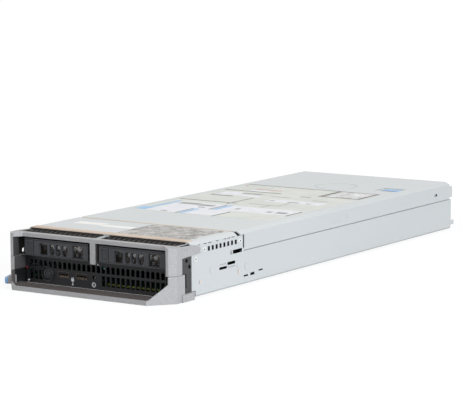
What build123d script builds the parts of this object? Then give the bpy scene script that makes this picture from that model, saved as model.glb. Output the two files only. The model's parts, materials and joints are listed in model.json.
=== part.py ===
# Half-height blade server lying on its side: a shallow sheet-steel tray with a lift-off cover, a
# moulded front bezel, two 2.5-inch drives above a slotted grille, and a swing-out release handle.
# Frame: millimetres, origin at the centre of the tray's flat underside, +X right seen from the
# front, +Y towards the rear connectors, +Z up.
from build123d import *
import math
import os

os.makedirs("parts", exist_ok=True)

# Driving sizes of the whole blade
tray_width = 187.0
tray_length = 503.0
sheet = 1.0
cover_top = 49.8
shoulder_z = 47.0
shoulder_run = 4.3
face_setback = 12.0
bezel_proud = 1.0
bezel_top = 48.35
handle_reach = 21.5
handle_drop = 2.0
seam_z = 31.5
fit_gap = 0.3
running_gap = 0.05
cut_over = 1.0

half_width = tray_width / 2
half_bezel = half_width + bezel_proud
half_top = half_width - shoulder_run
floor_front = -tray_length / 2
floor_rear = tray_length / 2
face_y = floor_front - face_setback


def behind(depth):
    """Y of a point that lies a depth behind the bezel's corner plane."""
    return face_y + depth


# Shape helpers: boxes from their limits, outlines pushed along one axis, round rods
def block(x0, x1, y0, y1, z0, z1):
    centre = Pos((x0 + x1) / 2, (y0 + y1) / 2, (z0 + z1) / 2)
    return centre * Box(x1 - x0, y1 - y0, z1 - z0)


def plan(points, z0, z1):
    face = make_face(Polyline(*[(x, y, z0) for x, y in points], close=True))
    return extrude(face, amount=z1 - z0, dir=(0, 0, 1))


def side_on(points, x0, x1):
    face = make_face(Polyline(*[(x0, y, z) for y, z in points], close=True))
    return extrude(face, amount=x1 - x0, dir=(1, 0, 0))


def front_on(points, y0, y1):
    face = make_face(Polyline(*[(x, y0, z) for x, z in points], close=True))
    return extrude(face, amount=y1 - y0, dir=(0, 1, 0))


def rod_x(y, z, x0, x1, radius):
    return Pos((x0 + x1) / 2, y, z) * Rot(0, 90, 0) * Cylinder(radius, x1 - x0)


def rod_y(x, z, y0, y1, radius):
    return Pos(x, (y0 + y1) / 2, z) * Rot(90, 0, 0) * Cylinder(radius, y1 - y0)


def rod_z(x, y, z0, z1, radius):
    return Pos(x, y, (z0 + z1) / 2) * Cylinder(radius, z1 - z0)


def mirrored(shape):
    return mirror(shape, about=Plane.YZ)


def group(solids):
    return Compound(children=list(solids))


parts = {}

# Base tray: floor, two sides that step inwards under the cover's flanges, rear wall
side_front_depth = 24.5
cover_start_depth = 109.5
side_front = behind(side_front_depth)
side_over = 2.0
side_rear = floor_rear + side_over
cover_start = behind(cover_start_depth)
joint_slot = 2.4
joint_slot_low = 33.8
lip_z = 45.8
step_in = 1.5
ledge_z = seam_z - 0.5
inner_wall_top = 46.3
rear_wall_top = 43.5
exhaust_count = 20
exhaust_margin = 11.8
exhaust_pitch = 2 * (half_width - exhaust_margin) / (exhaust_count - 1)
exhaust_width = 6.0
exhaust_low = 32.5
exhaust_high = 40.5
foot_notch_reach = 30.4
foot_notch_width = 17.0
foot_notch_height = 5.4
tab_length = 8.0
tab_low = 3.5
tab_high = 8.0
vent_count = 8
vent_pitch = 6.34
vent_width = 3.3
vent_height = 4.2
vent_z = 41.0
vent_depth = 52.1
vent_first = behind(vent_depth)

side_outline = [
    (side_front, 0),
    (side_rear - step_in, 0),
    (side_rear, tab_low),
    (side_rear + tab_length - step_in, tab_low),
    (side_rear + tab_length - step_in, tab_high),
    (side_rear, tab_high),
    (side_rear, ledge_z),
    (cover_start + joint_slot / 2 - fit_gap, ledge_z),
    (cover_start + joint_slot / 2 - fit_gap, joint_slot_low),
    (cover_start - joint_slot / 2, joint_slot_low),
    (cover_start - joint_slot / 2, lip_z),
    (side_front, lip_z),
]
outer_side = side_on(side_outline, half_width - sheet, half_width)
step_ledge = block(
    half_width - step_in - 2 * sheet, half_width, cover_start - joint_slot / 2, side_rear,
    ledge_z - sheet, ledge_z,
)
inner_wall_setback = 5.0
inner_wall = block(
    half_width - step_in - sheet, half_width - step_in, cover_start + inner_wall_setback, floor_rear,
    ledge_z - sheet, inner_wall_top,
)
tray_side = outer_side + step_ledge + inner_wall
for index in range(vent_count):
    vent_y = vent_first + index * vent_pitch
    tray_side -= block(
        half_width - sheet - cut_over, half_width + cut_over,
        vent_y - vent_width / 2, vent_y + vent_width / 2,
        vent_z - vent_height / 2, vent_z + vent_height / 2,
    )

# Openings that only the right side has: catch slot, offset keying slots and small sensor slots,
# each as depth behind the face, depth to, height from, height to
catch_slot = (87.7, 106.7, 30.4, 34.0)
key_slot_low = (69.0, 81.2, 18.5, 20.9)
key_slot_high = (82.4, 95.2, 21.2, 24.0)
small_slots = [(109.8, 116.8, 6.4, 8.0), (120.7, 127.8, 6.2, 8.7), (135.0, 142.0, 8.4, 9.7)]
right_side = tray_side
for near, far, low, high in [catch_slot, key_slot_low, key_slot_high] + small_slots:
    right_side -= block(
        half_width - sheet - cut_over, half_width + cut_over,
        behind(near), behind(far), low, high,
    )

# Half-sheared grooves beside the keying slots, and the catch pin inside the catch slot
groove_depth = 0.5
grooves = [(69.4, 79.0, 23.0, 23.8), (82.6, 94.4, 18.9, 19.7)]
for near, far, low, high in grooves:
    right_side -= block(
        half_width - groove_depth, half_width + cut_over, behind(near), behind(far), low, high,
    )
catch_pin_depth = 91.8
catch_pin_radius = 1.1
catch_pin_low = 28.6
catch_pin_high = 35.8
right_side += rod_z(
    half_width - sheet - catch_pin_radius / 2, behind(catch_pin_depth), catch_pin_low, catch_pin_high,
    catch_pin_radius,
)

# Raised round bosses pressed into the right side, as depth behind the face and height
boss_radius = 3.6
boss_height = 0.4
boss_places = [(57.0, 20.5), (101.3, 19.5), (114.8, 16.1)]
for depth, height in boss_places:
    right_side += rod_x(behind(depth), height, half_width - sheet / 2, half_width + boss_height, boss_radius)

rear_window_low = 7.0
rear_window_high = 27.0
guide_inset = 7.5
guide_half = 4.4
guide_clear = 0.3
guide_x = half_width - guide_inset
power_window = 26.0
window_inner = 24.0
window_gap = 6.0
fabric_window = guide_x - window_gap - window_inner
window_pitch = window_inner + fabric_window / 2
window_outer = guide_x + guide_half + guide_clear
floor_plate = block(-half_width, half_width, floor_front, floor_rear, 0, sheet)
rear_wall = block(-half_width, half_width, floor_rear - sheet, floor_rear, 0, ledge_z)
rear_wall += block(
    -half_width + step_in, half_width - step_in, floor_rear - sheet, floor_rear, ledge_z, rear_wall_top,
)
for index in range(exhaust_count):
    exhaust_x = (index - (exhaust_count - 1) / 2) * exhaust_pitch
    rear_wall -= block(
        exhaust_x - exhaust_width / 2, exhaust_x + exhaust_width / 2, floor_rear - sheet - cut_over,
        floor_rear + cut_over, exhaust_low, exhaust_high,
    )
rear_windows = [
    (-window_outer, -window_inner), (-power_window / 2, power_window / 2), (window_inner, window_outer),
]
for x0, x1 in rear_windows:
    rear_wall -= block(
        x0, x1, floor_rear - sheet - cut_over, floor_rear + cut_over, rear_window_low, rear_window_high,
    )
base_tray = floor_plate + rear_wall + right_side + mirrored(tray_side)
base_tray -= block(
    half_width - foot_notch_width, half_width + cut_over, floor_front - cut_over,
    behind(foot_notch_reach), -cut_over, foot_notch_height,
)

# Front top panel: lowered vent strip, riser and flat plate with sloped shoulders
panel_front_depth = 8.0
riser_depth = 23.0
panel_rear_depth = 98.5
panel_front = behind(panel_front_depth)
riser_y = behind(riser_depth)
panel_rear = behind(panel_rear_depth)
strip_top = bezel_top
strip_half = half_top
strip_skin = 0.6
slot_count = 30
slot_margin = 8.0
slot_pitch = 2 * (half_top - slot_margin) / (slot_count - 1)
slot_width = 3.7
slot_length = 5.6
slot_row_depths = (12.0, 18.9)
divider_gap_share = 0.6


def shell_outline(bottom_z):
    """Cross-section of a one-sheet lid with sloped shoulders and sides down to bottom_z."""
    outer = [(half_width, bottom_z), (half_width, shoulder_z), (half_top, cover_top)]
    inner = [
        (half_top - sheet / 2, cover_top - sheet),
        (half_width - sheet, shoulder_z - sheet / 2),
        (half_width - sheet, bottom_z),
    ]
    left_outer = [(-x, z) for x, z in reversed(outer)]
    left_inner = [(-x, z) for x, z in reversed(inner)]
    return outer + left_outer + left_inner + inner


panel_plate = front_on(shell_outline(lip_z), side_front, panel_rear)
panel_nose = block(-half_top, half_top, riser_y, side_front + sheet, cover_top - sheet, cover_top)
panel_riser = block(-half_top, half_top, riser_y, riser_y + sheet, strip_top - strip_skin, cover_top)
vent_strip = block(
    -strip_half, strip_half, panel_front, riser_y + sheet, strip_top - strip_skin, strip_top,
)
front_top_panel = panel_plate + panel_nose + panel_riser + vent_strip
for row, row_depth in enumerate(slot_row_depths):
    row_y = behind(row_depth)
    for index in range(slot_count):
        slot_x = (index - (slot_count - 1) / 2) * slot_pitch + (row - 1 / 2) * slot_pitch / 2
        if abs(slot_x) > slot_pitch * divider_gap_share:
            front_top_panel -= block(
                slot_x - slot_width / 2, slot_x + slot_width / 2,
                row_y - slot_length / 2, row_y + slot_length / 2,
                strip_top - sheet - cut_over, strip_top + cut_over,
            )

# Short relief slots where the panel's sides meet the tray, as depth from and depth to
fold_slot_height = 0.7
fold_slots = [
    (35.0, 38.0), (43.7, 48.5), (51.2, 56.0), (63.5, 67.5), (76.2, 80.2), (82.1, 86.9), (89.2, 94.0),
]
for near, far in fold_slots:
    for inner_x, outer_x in (
        (-half_width - cut_over, -half_width + sheet + cut_over),
        (half_width - sheet - cut_over, half_width + cut_over),
    ):
        front_top_panel -= block(
            inner_x, outer_x, behind(near), behind(far), lip_z - cut_over, lip_z + fold_slot_height,
        )

parts["front_top_panel"] = front_top_panel

# Conductive gasket strips on top: a wide one behind the vents, a thin one at the cover's joint
gasket_width = 10.5
gasket_rise = 0.7
gasket_round = 0.5
thin_gasket = 2.6
thin_gasket_inset = 3.9
wide_gasket = block(
    -half_top + gasket_round, half_top - gasket_round, riser_y + gasket_round,
    riser_y + gasket_round + gasket_width, cover_top, cover_top + gasket_rise,
)
parts["front_gasket"] = fillet(wide_gasket.edges().group_by(Axis.Z)[-1], gasket_round)
parts["rear_gasket"] = block(
    -half_top + thin_gasket_inset, half_top - thin_gasket_inset, panel_rear, panel_rear + thin_gasket,
    cover_top - sheet, cover_top + gasket_round / 2,
)

# Release handle plan sizes, which the bezel's pillars share
bar_inset = 18.3
bar_half = half_bezel - bar_inset
facet_slope = handle_reach / (half_bezel - bar_half)
pillar_reach = 6.0
pillar_width = 8.1
pillar_inner = half_bezel - pillar_width
facet_meet = half_bezel - pillar_reach / facet_slope

# Front bezel: two pillars, top bar, divider between the drives, and a tapered ear on each side
top_bar_front = 1.5
top_bar_depth = 6.5
top_bar_low = 44.7
pillar_skin = 1.6
pillar_side_rear = 8.3
mitre_run = 5.5
left_seam = 26.6
right_seam = 22.9
divider_half = 3.2
divider_low = 25.2
divider_rear = 9.0
ear_thickness = 1.2
ear_low_root = 37.6
ear_low_tip = 39.0
ear_high_tip = 43.4
ear_tip = 38.0
ear_flat = 26.4
ear_bend = 33.0
ear_bend_drop = 2.2
ear_notch = 1.6


def pillar(bottom_z):
    """Right-hand pillar skin: side wall, facet and flat front, hollow behind."""
    outline = [
        (half_bezel, behind(pillar_side_rear)),
        (half_bezel, behind(0)),
        (facet_meet, behind(-pillar_reach)),
        (pillar_inner, behind(-pillar_reach)),
        (pillar_inner, behind(-pillar_reach + pillar_skin)),
        (facet_meet - pillar_skin / 2, behind(-pillar_reach + pillar_skin)),
        (half_bezel - pillar_skin, behind(pillar_skin / 2)),
        (half_bezel - pillar_skin, behind(pillar_side_rear)),
    ]
    return plan(outline, bottom_z, bezel_top)


bar_mitre = plan(
    [
        (pillar_inner, behind(-pillar_reach)),
        (facet_meet - pillar_skin / 2, behind(-pillar_reach + pillar_skin)),
        (half_bezel - pillar_skin, behind(pillar_skin / 2)),
        (half_bezel - pillar_skin, behind(top_bar_front + top_bar_depth)),
        (pillar_inner - mitre_run, behind(top_bar_front + top_bar_depth)),
        (pillar_inner - mitre_run, behind(top_bar_front)),
    ],
    top_bar_low, bezel_top,
)
ear = side_on(
    [
        (behind(pillar_side_rear), bezel_top),
        (behind(ear_flat), bezel_top - ear_notch / 2),
        (behind(ear_bend), bezel_top - ear_bend_drop),
        (behind(ear_tip), ear_high_tip),
        (behind(ear_tip - ear_notch), (ear_high_tip + ear_low_tip) / 2),
        (behind(ear_tip), ear_low_tip),
        (behind(pillar_side_rear), ear_low_root),
    ],
    half_width, half_width + ear_thickness,
)
ear_root = block(
    half_bezel - pillar_skin, half_width + ear_thickness, behind(pillar_side_rear - pillar_skin),
    behind(pillar_side_rear), ear_low_root, bezel_top,
)
right_front = pillar(right_seam) + bar_mitre + ear + ear_root
left_front = mirrored(pillar(left_seam) + bar_mitre + ear + ear_root)
bar_end = pillar_inner - mitre_run + top_bar_front
top_bar = block(
    -bar_end, bar_end, behind(top_bar_front), behind(top_bar_front + top_bar_depth),
    top_bar_low, bezel_top,
)
divider = block(
    -divider_half, divider_half, behind(top_bar_front), behind(divider_rear), divider_low, top_bar_low,
)
parts["front_bezel"] = right_front + left_front + top_bar + divider

# Side brackets: black liners behind the pillars that carry the handle, with two round holes each,
# given as depth, height and radius
bracket_wall = 2.0
bracket_rear = 26.5
foot_top = 5.0
bracket_low = foot_top + fit_gap
right_lower_front = 17.6
left_lower_front = 12.9
right_bracket_holes = [(18.0, 34.3, 1.9), (22.4, 28.4, 1.9)]
left_bracket_holes = [(14.6, 29.4, 2.4), (20.0, 34.3, 1.9)]
liner = 1.8
bracket_outer = half_width - sheet - running_gap
bracket_inner = bracket_outer - bracket_wall


def side_bracket(bottom_z, lower_front, low_z, holes):
    """Right-hand liner: upper half wraps behind the pillar, lower half stands behind the handle."""
    liner_front = -pillar_reach + pillar_skin
    upper = plan(
        [
            (pillar_inner, behind(liner_front)),
            (pillar_inner + liner, behind(liner_front)),
            (pillar_inner + liner, behind(liner)),
            (bracket_outer, behind(pillar_side_rear)),
            (bracket_outer, behind(bracket_rear)),
            (bracket_inner, behind(bracket_rear)),
            (bracket_inner, behind(pillar_side_rear)),
            (pillar_inner, behind(liner)),
        ],
        bottom_z, top_bar_low,
    )
    lower = block(
        bracket_inner, bracket_outer, behind(lower_front), behind(bracket_rear), low_z, bottom_z,
    )
    shape = upper + lower
    for depth, height, radius in holes:
        shape -= rod_x(
            behind(depth), height, bracket_inner - cut_over, bracket_outer + cut_over, radius,
        )
    return shape


# Handle pivot: a vertical pin in a lug on the right-hand bracket
pivot_inset = 6.5
pivot_depth = 20.0
pivot_x = half_bezel - pivot_inset
pivot_y = behind(pivot_depth)
pivot_radius = 2.0
pin_head_radius = 2.4
pin_head = 1.4
lug_radius = 4.6
lug_height = 4.0
lug_low = foot_top + fit_gap
lug = rod_z(pivot_x, pivot_y, lug_low, lug_low + lug_height, lug_radius)
lug += block(
    pivot_x, bracket_outer, pivot_y - lug_radius, pivot_y + lug_radius, lug_low, lug_low + lug_height,
)
lug -= rod_z(pivot_x, pivot_y, lug_low - cut_over, lug_low + lug_height + cut_over, pivot_radius)
parts["side_bracket_right"] = lug + side_bracket(
    right_seam, right_lower_front, bracket_low, right_bracket_holes,
)
parts["side_bracket_left"] = mirrored(
    side_bracket(left_seam, left_lower_front, sheet, left_bracket_holes)
)
handle_pin = rod_z(pivot_x, pivot_y, -handle_drop + pin_head / 2, lug_low + lug_height, pivot_radius)
handle_pin += rod_z(
    pivot_x, pivot_y, lug_low + lug_height, lug_low + lug_height + pin_head, pin_head_radius,
)
parts["handle_hinge_pin"] = handle_pin

# Release handle: front bar with a sloped ledge, two 45-degree facets, end blocks and pivot foot
bar_top = 2.6
ledge_top = 4.6
bar_depth = 12.0
facet_skin = 3.4
left_block_width = 9.3
left_block_inner = half_bezel - left_block_width
block_edge = 0.8
right_block_inner = facet_meet - block_edge
block_rear = 12.4
block_skin = 1.6
block_front_skin = 2.5
left_block_top = left_seam - fit_gap
right_block_top = right_seam - fit_gap
left_bevel = 14.4
right_bevel = 16.1
ramp_inset = 1.0
foot_width = 10.2
foot_inner = half_bezel - foot_width
foot_proud = 1.2
foot_step = 7.4
foot_radius = 9.8
facet_run = facet_skin * math.hypot(1, facet_slope) / facet_slope

bar = side_on(
    [
        (behind(-handle_reach), -handle_drop),
        (behind(-handle_reach), bar_top),
        (behind(-handle_reach + bar_depth), ledge_top),
        (behind(-handle_reach + bar_depth), -handle_drop),
    ],
    -bar_half, bar_half,
)


def facet(ramp_start, ramp_end, bevel_z):
    """Right-hand facet plate whose top edge climbs from the bar to the end block."""
    plate = plan(
        [
            (bar_half, behind(-handle_reach)),
            (half_bezel, behind(0)),
            (half_bezel - facet_run, behind(0)),
            (bar_half - facet_run, behind(-handle_reach)),
        ],
        -handle_drop, bevel_z,
    )
    slope = (bevel_z - bar_top) / (ramp_end - ramp_start)
    ramp = front_on(
        [
            (bar_half - facet_run - cut_over, bar_top),
            (ramp_start, bar_top),
            (ramp_end + cut_over, bevel_z + cut_over * slope),
            (bar_half - facet_run - cut_over, bevel_z + cut_over * slope),
        ],
        behind(-handle_reach - cut_over), behind(cut_over),
    )
    return plate - ramp


def end_block(inner_x, top_z):
    """Right-hand end block: front wall beside the facet, side walls, open towards the rear."""
    side_inside = block_front_skin - block_skin * facet_slope
    front_inside = side_inside - (half_bezel - inner_x - 2 * block_skin) * facet_slope
    front_inside = max(front_inside, -pillar_reach + block_skin)
    outline = [
        (half_bezel, behind(block_rear)),
        (half_bezel, behind(0)),
        (facet_meet, behind(-pillar_reach)),
        (inner_x, behind(-pillar_reach)),
        (inner_x, behind(block_rear)),
        (inner_x + block_skin, behind(block_rear)),
        (inner_x + block_skin, behind(front_inside)),
        (half_bezel - block_skin, behind(side_inside)),
        (half_bezel - block_skin, behind(block_rear)),
    ]
    return plan(outline, -handle_drop, top_z)


def end_web(inner_x, low_z):
    """Floor plate that ties an end block's two walls together."""
    outline = [
        (half_bezel, behind(block_rear)),
        (half_bezel, behind(0)),
        (facet_meet, behind(-pillar_reach)),
        (inner_x, behind(-pillar_reach)),
        (inner_x, behind(block_rear)),
    ]
    return plan(outline, low_z, low_z + block_skin)


foot_outer = half_bezel + foot_proud
foot = block(foot_inner, foot_outer, behind(block_rear - block_skin), pivot_y, -handle_drop, foot_top)
foot += block(
    half_bezel - block_skin, foot_outer, behind(foot_step), behind(block_rear), -handle_drop, foot_top,
)
foot_end = rod_z(pivot_x, pivot_y, -handle_drop, foot_top, foot_radius)
foot_end &= block(foot_inner, foot_outer, pivot_y, pivot_y + foot_radius, -handle_drop, foot_top)
foot += foot_end
right_end = facet(bar_half + ramp_inset, facet_meet, right_bevel)
right_end += end_block(right_block_inner, right_block_top) + foot
right_end += end_web(right_block_inner, -handle_drop)
right_end += end_web(right_block_inner, right_block_top - block_skin)
left_end = facet(bar_half - facet_run, left_block_inner, left_bevel)
left_end += end_block(left_block_inner, left_block_top)
left_end += end_web(left_block_inner, -handle_drop)
left_end += end_web(left_block_inner, left_block_top - block_skin)
left_end -= block(
    left_block_inner - cut_over, half_bezel + cut_over, floor_front - fit_gap, behind(block_rear) + cut_over,
    -handle_drop - cut_over, sheet + fit_gap,
)
release_handle = bar + right_end + mirrored(left_end)
release_handle -= rod_z(
    pivot_x, pivot_y, -handle_drop - cut_over, foot_top + cut_over, pivot_radius + running_gap,
)

# Handle release button: a wedge that slides through the left facet, square to it
facet_facing = 270 - math.degrees(math.atan(facet_slope))
button_share = 0.58
button_stand = 6.0
button_half_width = 3.5
button_low = 1.6
button_high = 9.4
button_tail = 4.8
button_travel = 2.0
button_tip_drop = 2.6
button_x = -(bar_half + (half_bezel - bar_half) * button_share)
button_y = behind(-handle_reach * (1 - button_share))
button_place = Pos(button_x, button_y, 0) * Rot(0, 0, facet_facing)
release_handle -= button_place * block(
    -button_tail - button_travel - fit_gap, button_stand, -button_half_width - fit_gap,
    button_half_width + fit_gap, button_low - fit_gap, button_high + fit_gap,
)
parts["release_handle"] = release_handle
wedge_profile = Polyline(
    (-button_tail, -button_half_width, button_low),
    (button_stand - sheet, -button_half_width, button_low),
    (button_stand, -button_half_width, button_low + sheet),
    (button_stand, -button_half_width, button_high - button_tip_drop),
    (sheet, -button_half_width, button_high),
    (-button_tail, -button_half_width, button_high),
    close=True,
)
button_wedge = extrude(make_face(wedge_profile), amount=2 * button_half_width, dir=(0, 1, 0))
parts["handle_release_button"] = button_place * button_wedge

# Front grille: black plate with one full row and two part rows of slots, and the control openings
grille_skin = 2.0
grille_web = 1.3
grille_rim = 2.0
grille_front = floor_front - grille_skin
grille_inset = 10.5
grille_half = half_bezel - grille_inset
grille_low = 0.3
grille_high = 26.4
grille_slot = 4.0
grille_slot_count = 29
slot_end = 6.3
slot_shift = 0.1
slot_step = 2 * (grille_half - slot_end) / (grille_slot_count - 1)
slot_first = -grille_half + slot_end - slot_shift
upper_low = 16.0
upper_high = 22.8
lower_high = 13.5
lower_low = 4.2
left_lower_count = 3
right_lower_first = 15
power_gap = 6.1
power_x = slot_first + (left_lower_count - 1) * slot_step + grille_slot / 2 + power_gap
power_z = 10.4
power_radius = 4.9
ring_radius = 7.3
ring_stand = 1.6
usb_z = 11.1
usb_first = 18.5
usb_second = 39.3
usb_places = (power_x + usb_first, power_x + usb_second)
usb_width = 13.1
usb_height = 5.7
usb_shell = 0.5
usb_depth = 14.0
usb_stand = 0.4
status_step = 53.1
status_x = power_x + status_step
status_z = 11.3
status_radius = 1.7
light_radius = 0.9
low_light = (2.6, 2.6)
high_light = (2.0, 14.4)
light_places = [(-grille_half + inset, z) for inset, z in (low_light, high_light)]
light_stand = 0.4
light_length = 4.0

front_grille = block(-grille_half, grille_half, grille_front, floor_front, grille_low, grille_high)
front_grille -= block(
    -grille_half + grille_rim, grille_half - grille_rim, grille_front + grille_web, floor_front + cut_over,
    grille_low + grille_rim, grille_high - grille_rim,
)


def arched_slot(x, low, high):
    """Slot cutter with an arched top."""
    radius = grille_slot / 2
    cutter = block(
        x - radius, x + radius, grille_front - cut_over, floor_front + cut_over, low, high - radius,
    )
    return cutter + rod_y(x, high - radius, grille_front - cut_over, floor_front + cut_over, radius)


for index in range(grille_slot_count):
    slot_x = slot_first + index * slot_step
    front_grille -= arched_slot(slot_x, upper_low, upper_high)
    if index < left_lower_count or index >= right_lower_first:
        front_grille -= block(
            slot_x - grille_slot / 2, slot_x + grille_slot / 2, grille_front - cut_over,
            floor_front + cut_over, lower_low, lower_high,
        )
for x in usb_places:
    front_grille -= block(
        x - usb_width / 2 - running_gap, x + usb_width / 2 + running_gap, grille_front - cut_over,
        floor_front + cut_over, usb_z - usb_height / 2 - running_gap, usb_z + usb_height / 2 + running_gap,
    )
front_grille -= rod_y(
    power_x, power_z, grille_front - cut_over, floor_front + cut_over, power_radius + fit_gap,
)
front_grille -= rod_y(status_x, status_z, grille_front - cut_over, floor_front + cut_over, status_radius)
for x, z in light_places:
    front_grille -= rod_y(x, z, grille_front - cut_over, floor_front + cut_over, light_radius)
parts["front_grille"] = front_grille

# Controls on the grille: power button in its ring, USB shells and tongues, light pipes
ring = rod_y(power_x, power_z, grille_front - ring_stand, grille_front, ring_radius)
ring = chamfer(ring.edges().group_by(Axis.Y)[0], ring_stand / 2)
ring -= rod_y(
    power_x, power_z, grille_front - ring_stand - cut_over, grille_front + cut_over,
    power_radius + fit_gap,
)
parts["power_button_ring"] = ring
power_face = grille_front - ring_stand / 2
power_length = 6.0
power_travel = 1.2
power_dish = 2.7
dish_depth = 0.5
power_button = rod_y(power_x, power_z, power_face, power_face + power_length, power_radius)
power_button -= rod_y(power_x, power_z, power_face - cut_over, power_face + dish_depth, power_dish)
parts["power_button"] = power_button

usb_front = grille_front - usb_stand
tongue_width = 11.1
tongue_height = 1.8
tongue_back = 3.0
tongue_rise = 0.3
shells = []
tongues = []
for x in usb_places:
    shell = block(
        x - usb_width / 2, x + usb_width / 2, usb_front, usb_front + usb_depth,
        usb_z - usb_height / 2, usb_z + usb_height / 2,
    )
    shell -= block(
        x - usb_width / 2 + usb_shell, x + usb_width / 2 - usb_shell, usb_front - cut_over,
        usb_front + usb_depth - usb_shell, usb_z - usb_height / 2 + usb_shell,
        usb_z + usb_height / 2 - usb_shell,
    )
    shells.append(shell)
    tongue = block(
        x - tongue_width / 2, x + tongue_width / 2, usb_front + usb_stand + usb_shell,
        usb_front + usb_depth - usb_shell, usb_z + tongue_rise, usb_z + tongue_rise + tongue_height,
    )
    tongue += block(
        x - usb_width / 2 + usb_shell, x + usb_width / 2 - usb_shell,
        usb_front + usb_depth - usb_shell - tongue_back, usb_front + usb_depth - usb_shell,
        usb_z - usb_height / 2 + usb_shell, usb_z + usb_height / 2 - usb_shell,
    )
    tongues.append(tongue)
parts["usb_shells"] = group(shells)
parts["usb_tongues"] = group(tongues)
parts["front_light_pipes"] = group(
    rod_y(x, z, grille_front - light_stand, grille_front - light_stand + light_length, light_radius)
    for x, z in light_places
)

# System board on standoffs, with a notch for the handle's foot
board_gap = 3.0
board_skin = 1.6
board_low = sheet + board_gap
board_top = board_low + board_skin
board_inset = 3.5
board_front_depth = 18.0
board_rear_inset = 10.0
board_half = half_width - board_inset
board_front = behind(board_front_depth)
board_rear = floor_rear - board_rear_inset
standoff_radius = 2.6
standoff_inset = 6.0
standoff_columns = (-board_half + standoff_inset, 0, board_half - standoff_inset)
standoff_depths = (45.0, 200.0, 350.0, 480.0)
system_board = block(-board_half, board_half, board_front, board_rear, board_low, board_top)
system_board -= block(
    half_width - foot_notch_width, half_width, board_front - cut_over, behind(foot_notch_reach),
    0, board_top + cut_over,
)
parts["system_board"] = system_board

# Front control board that carries the USB shells, on spacers above the system board
control_overhang = 17.4
control_reach = 50.6
control_left = power_x - control_overhang
control_right = power_x + control_reach
control_depth = 20.0
control_top = usb_z - usb_height / 2
control_low = control_top - board_skin
control_chip = 6.0
control_board = block(
    control_left, control_right, floor_front, floor_front + control_depth, control_low, control_top,
)
switch_front = power_face + power_length + power_travel + fit_gap
control_board -= block(
    power_x - power_radius - fit_gap, power_x + power_radius + fit_gap,
    floor_front - cut_over, switch_front, control_low - cut_over, control_top + cut_over,
)
control_board += block(
    power_x - control_chip / 2, power_x + control_chip / 2, switch_front, switch_front + control_chip,
    control_top, power_z + status_radius,
)
parts["front_control_board"] = control_board
spacers = [
    rod_z(x, floor_front + control_depth - standoff_radius, board_top, control_low, standoff_radius)
    for x in (control_left + standoff_radius, control_right - standoff_radius)
]
standoffs = [
    rod_z(x, behind(depth), sheet, board_low, standoff_radius)
    for x in standoff_columns
    for depth in standoff_depths
]
parts["board_standoffs"] = group(standoffs + spacers)

# Drive carriers: a frame with thin rims, a push button, and a swing handle with windows
carrier_inner_gap = 2.8
carrier_outer_gap = 6.3
carrier_inner = divider_half + carrier_inner_gap
carrier_width = pillar_inner - carrier_outer_gap - carrier_inner
carrier_left = -carrier_inner - carrier_width
carrier_pitch = carrier_width + 2 * carrier_inner
carrier_low = 27.2
carrier_high = 43.0
carrier_rim = 1.0
rim_front = 3.0
carrier_face = 2.7
carrier_back = 13.5
post_front = 10.8
button_block = 10.4
handle_left = 11.2
handle_skin = 2.8
latch_post = 13.4
right_post_width = 6.6
right_post = carrier_width - right_post_width
right_post_front = 9.6
hinge_inset = 3.7
hinge_u = carrier_width - hinge_inset
hinge_depth = 6.3
knuckle_radius = 2.0
hinge_radius = 1.0
handle_end_gap = 0.3
disk_side = 2.125
disk_width = carrier_width - 2 * disk_side
disk_length = 100.45
disk_height = 14.8
disk_front = 14.0
disk_lid = 0.5
disk_lid_inset = 2.5
spindle_radius = 11.0
rail_low = 30.0
rail_high = 40.5
rail_rear = 116.0
small_window_low = 29.1
small_window_high = 39.5
large_window_low = 28.9
large_window_high = 40.4
square_window_shares = (0.238, 0.3644)
round_window_shares = [(0.3955, 0.4752), (0.4887, 0.5684), (0.5846, 0.6805)]
large_window_shares = (0.7517, 0.9177)
mesh_front = 10.0
mesh_skin = 0.8
mesh_pitch = 5.8
mesh_wall = 1.0
mesh_first = 4.35
hexagon_sides = 6
hexagon_turn = 30
button_depth = 5.8
grip_depth = 1.2
grip_margin = 2.2
disk_low = (carrier_low + carrier_high) / 2 - disk_height / 2
rail_skin = disk_side - carrier_rim / 2
inner_low = carrier_low + carrier_rim
inner_high = carrier_high - carrier_rim


def drive_box(left, u0, u1, near, far, z0, z1):
    """Box in a drive's own frame: u across from its left edge, depth behind the face."""
    return block(left + u0, left + u1, behind(near), behind(far), z0, z1)


def window(left, shares, low, high):
    """Cutter for a swing-handle window, as shares of the carrier's width."""
    return drive_box(
        left, shares[0] * carrier_width, shares[1] * carrier_width, carrier_face - cut_over,
        hinge_depth + cut_over, low, high,
    )


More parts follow.
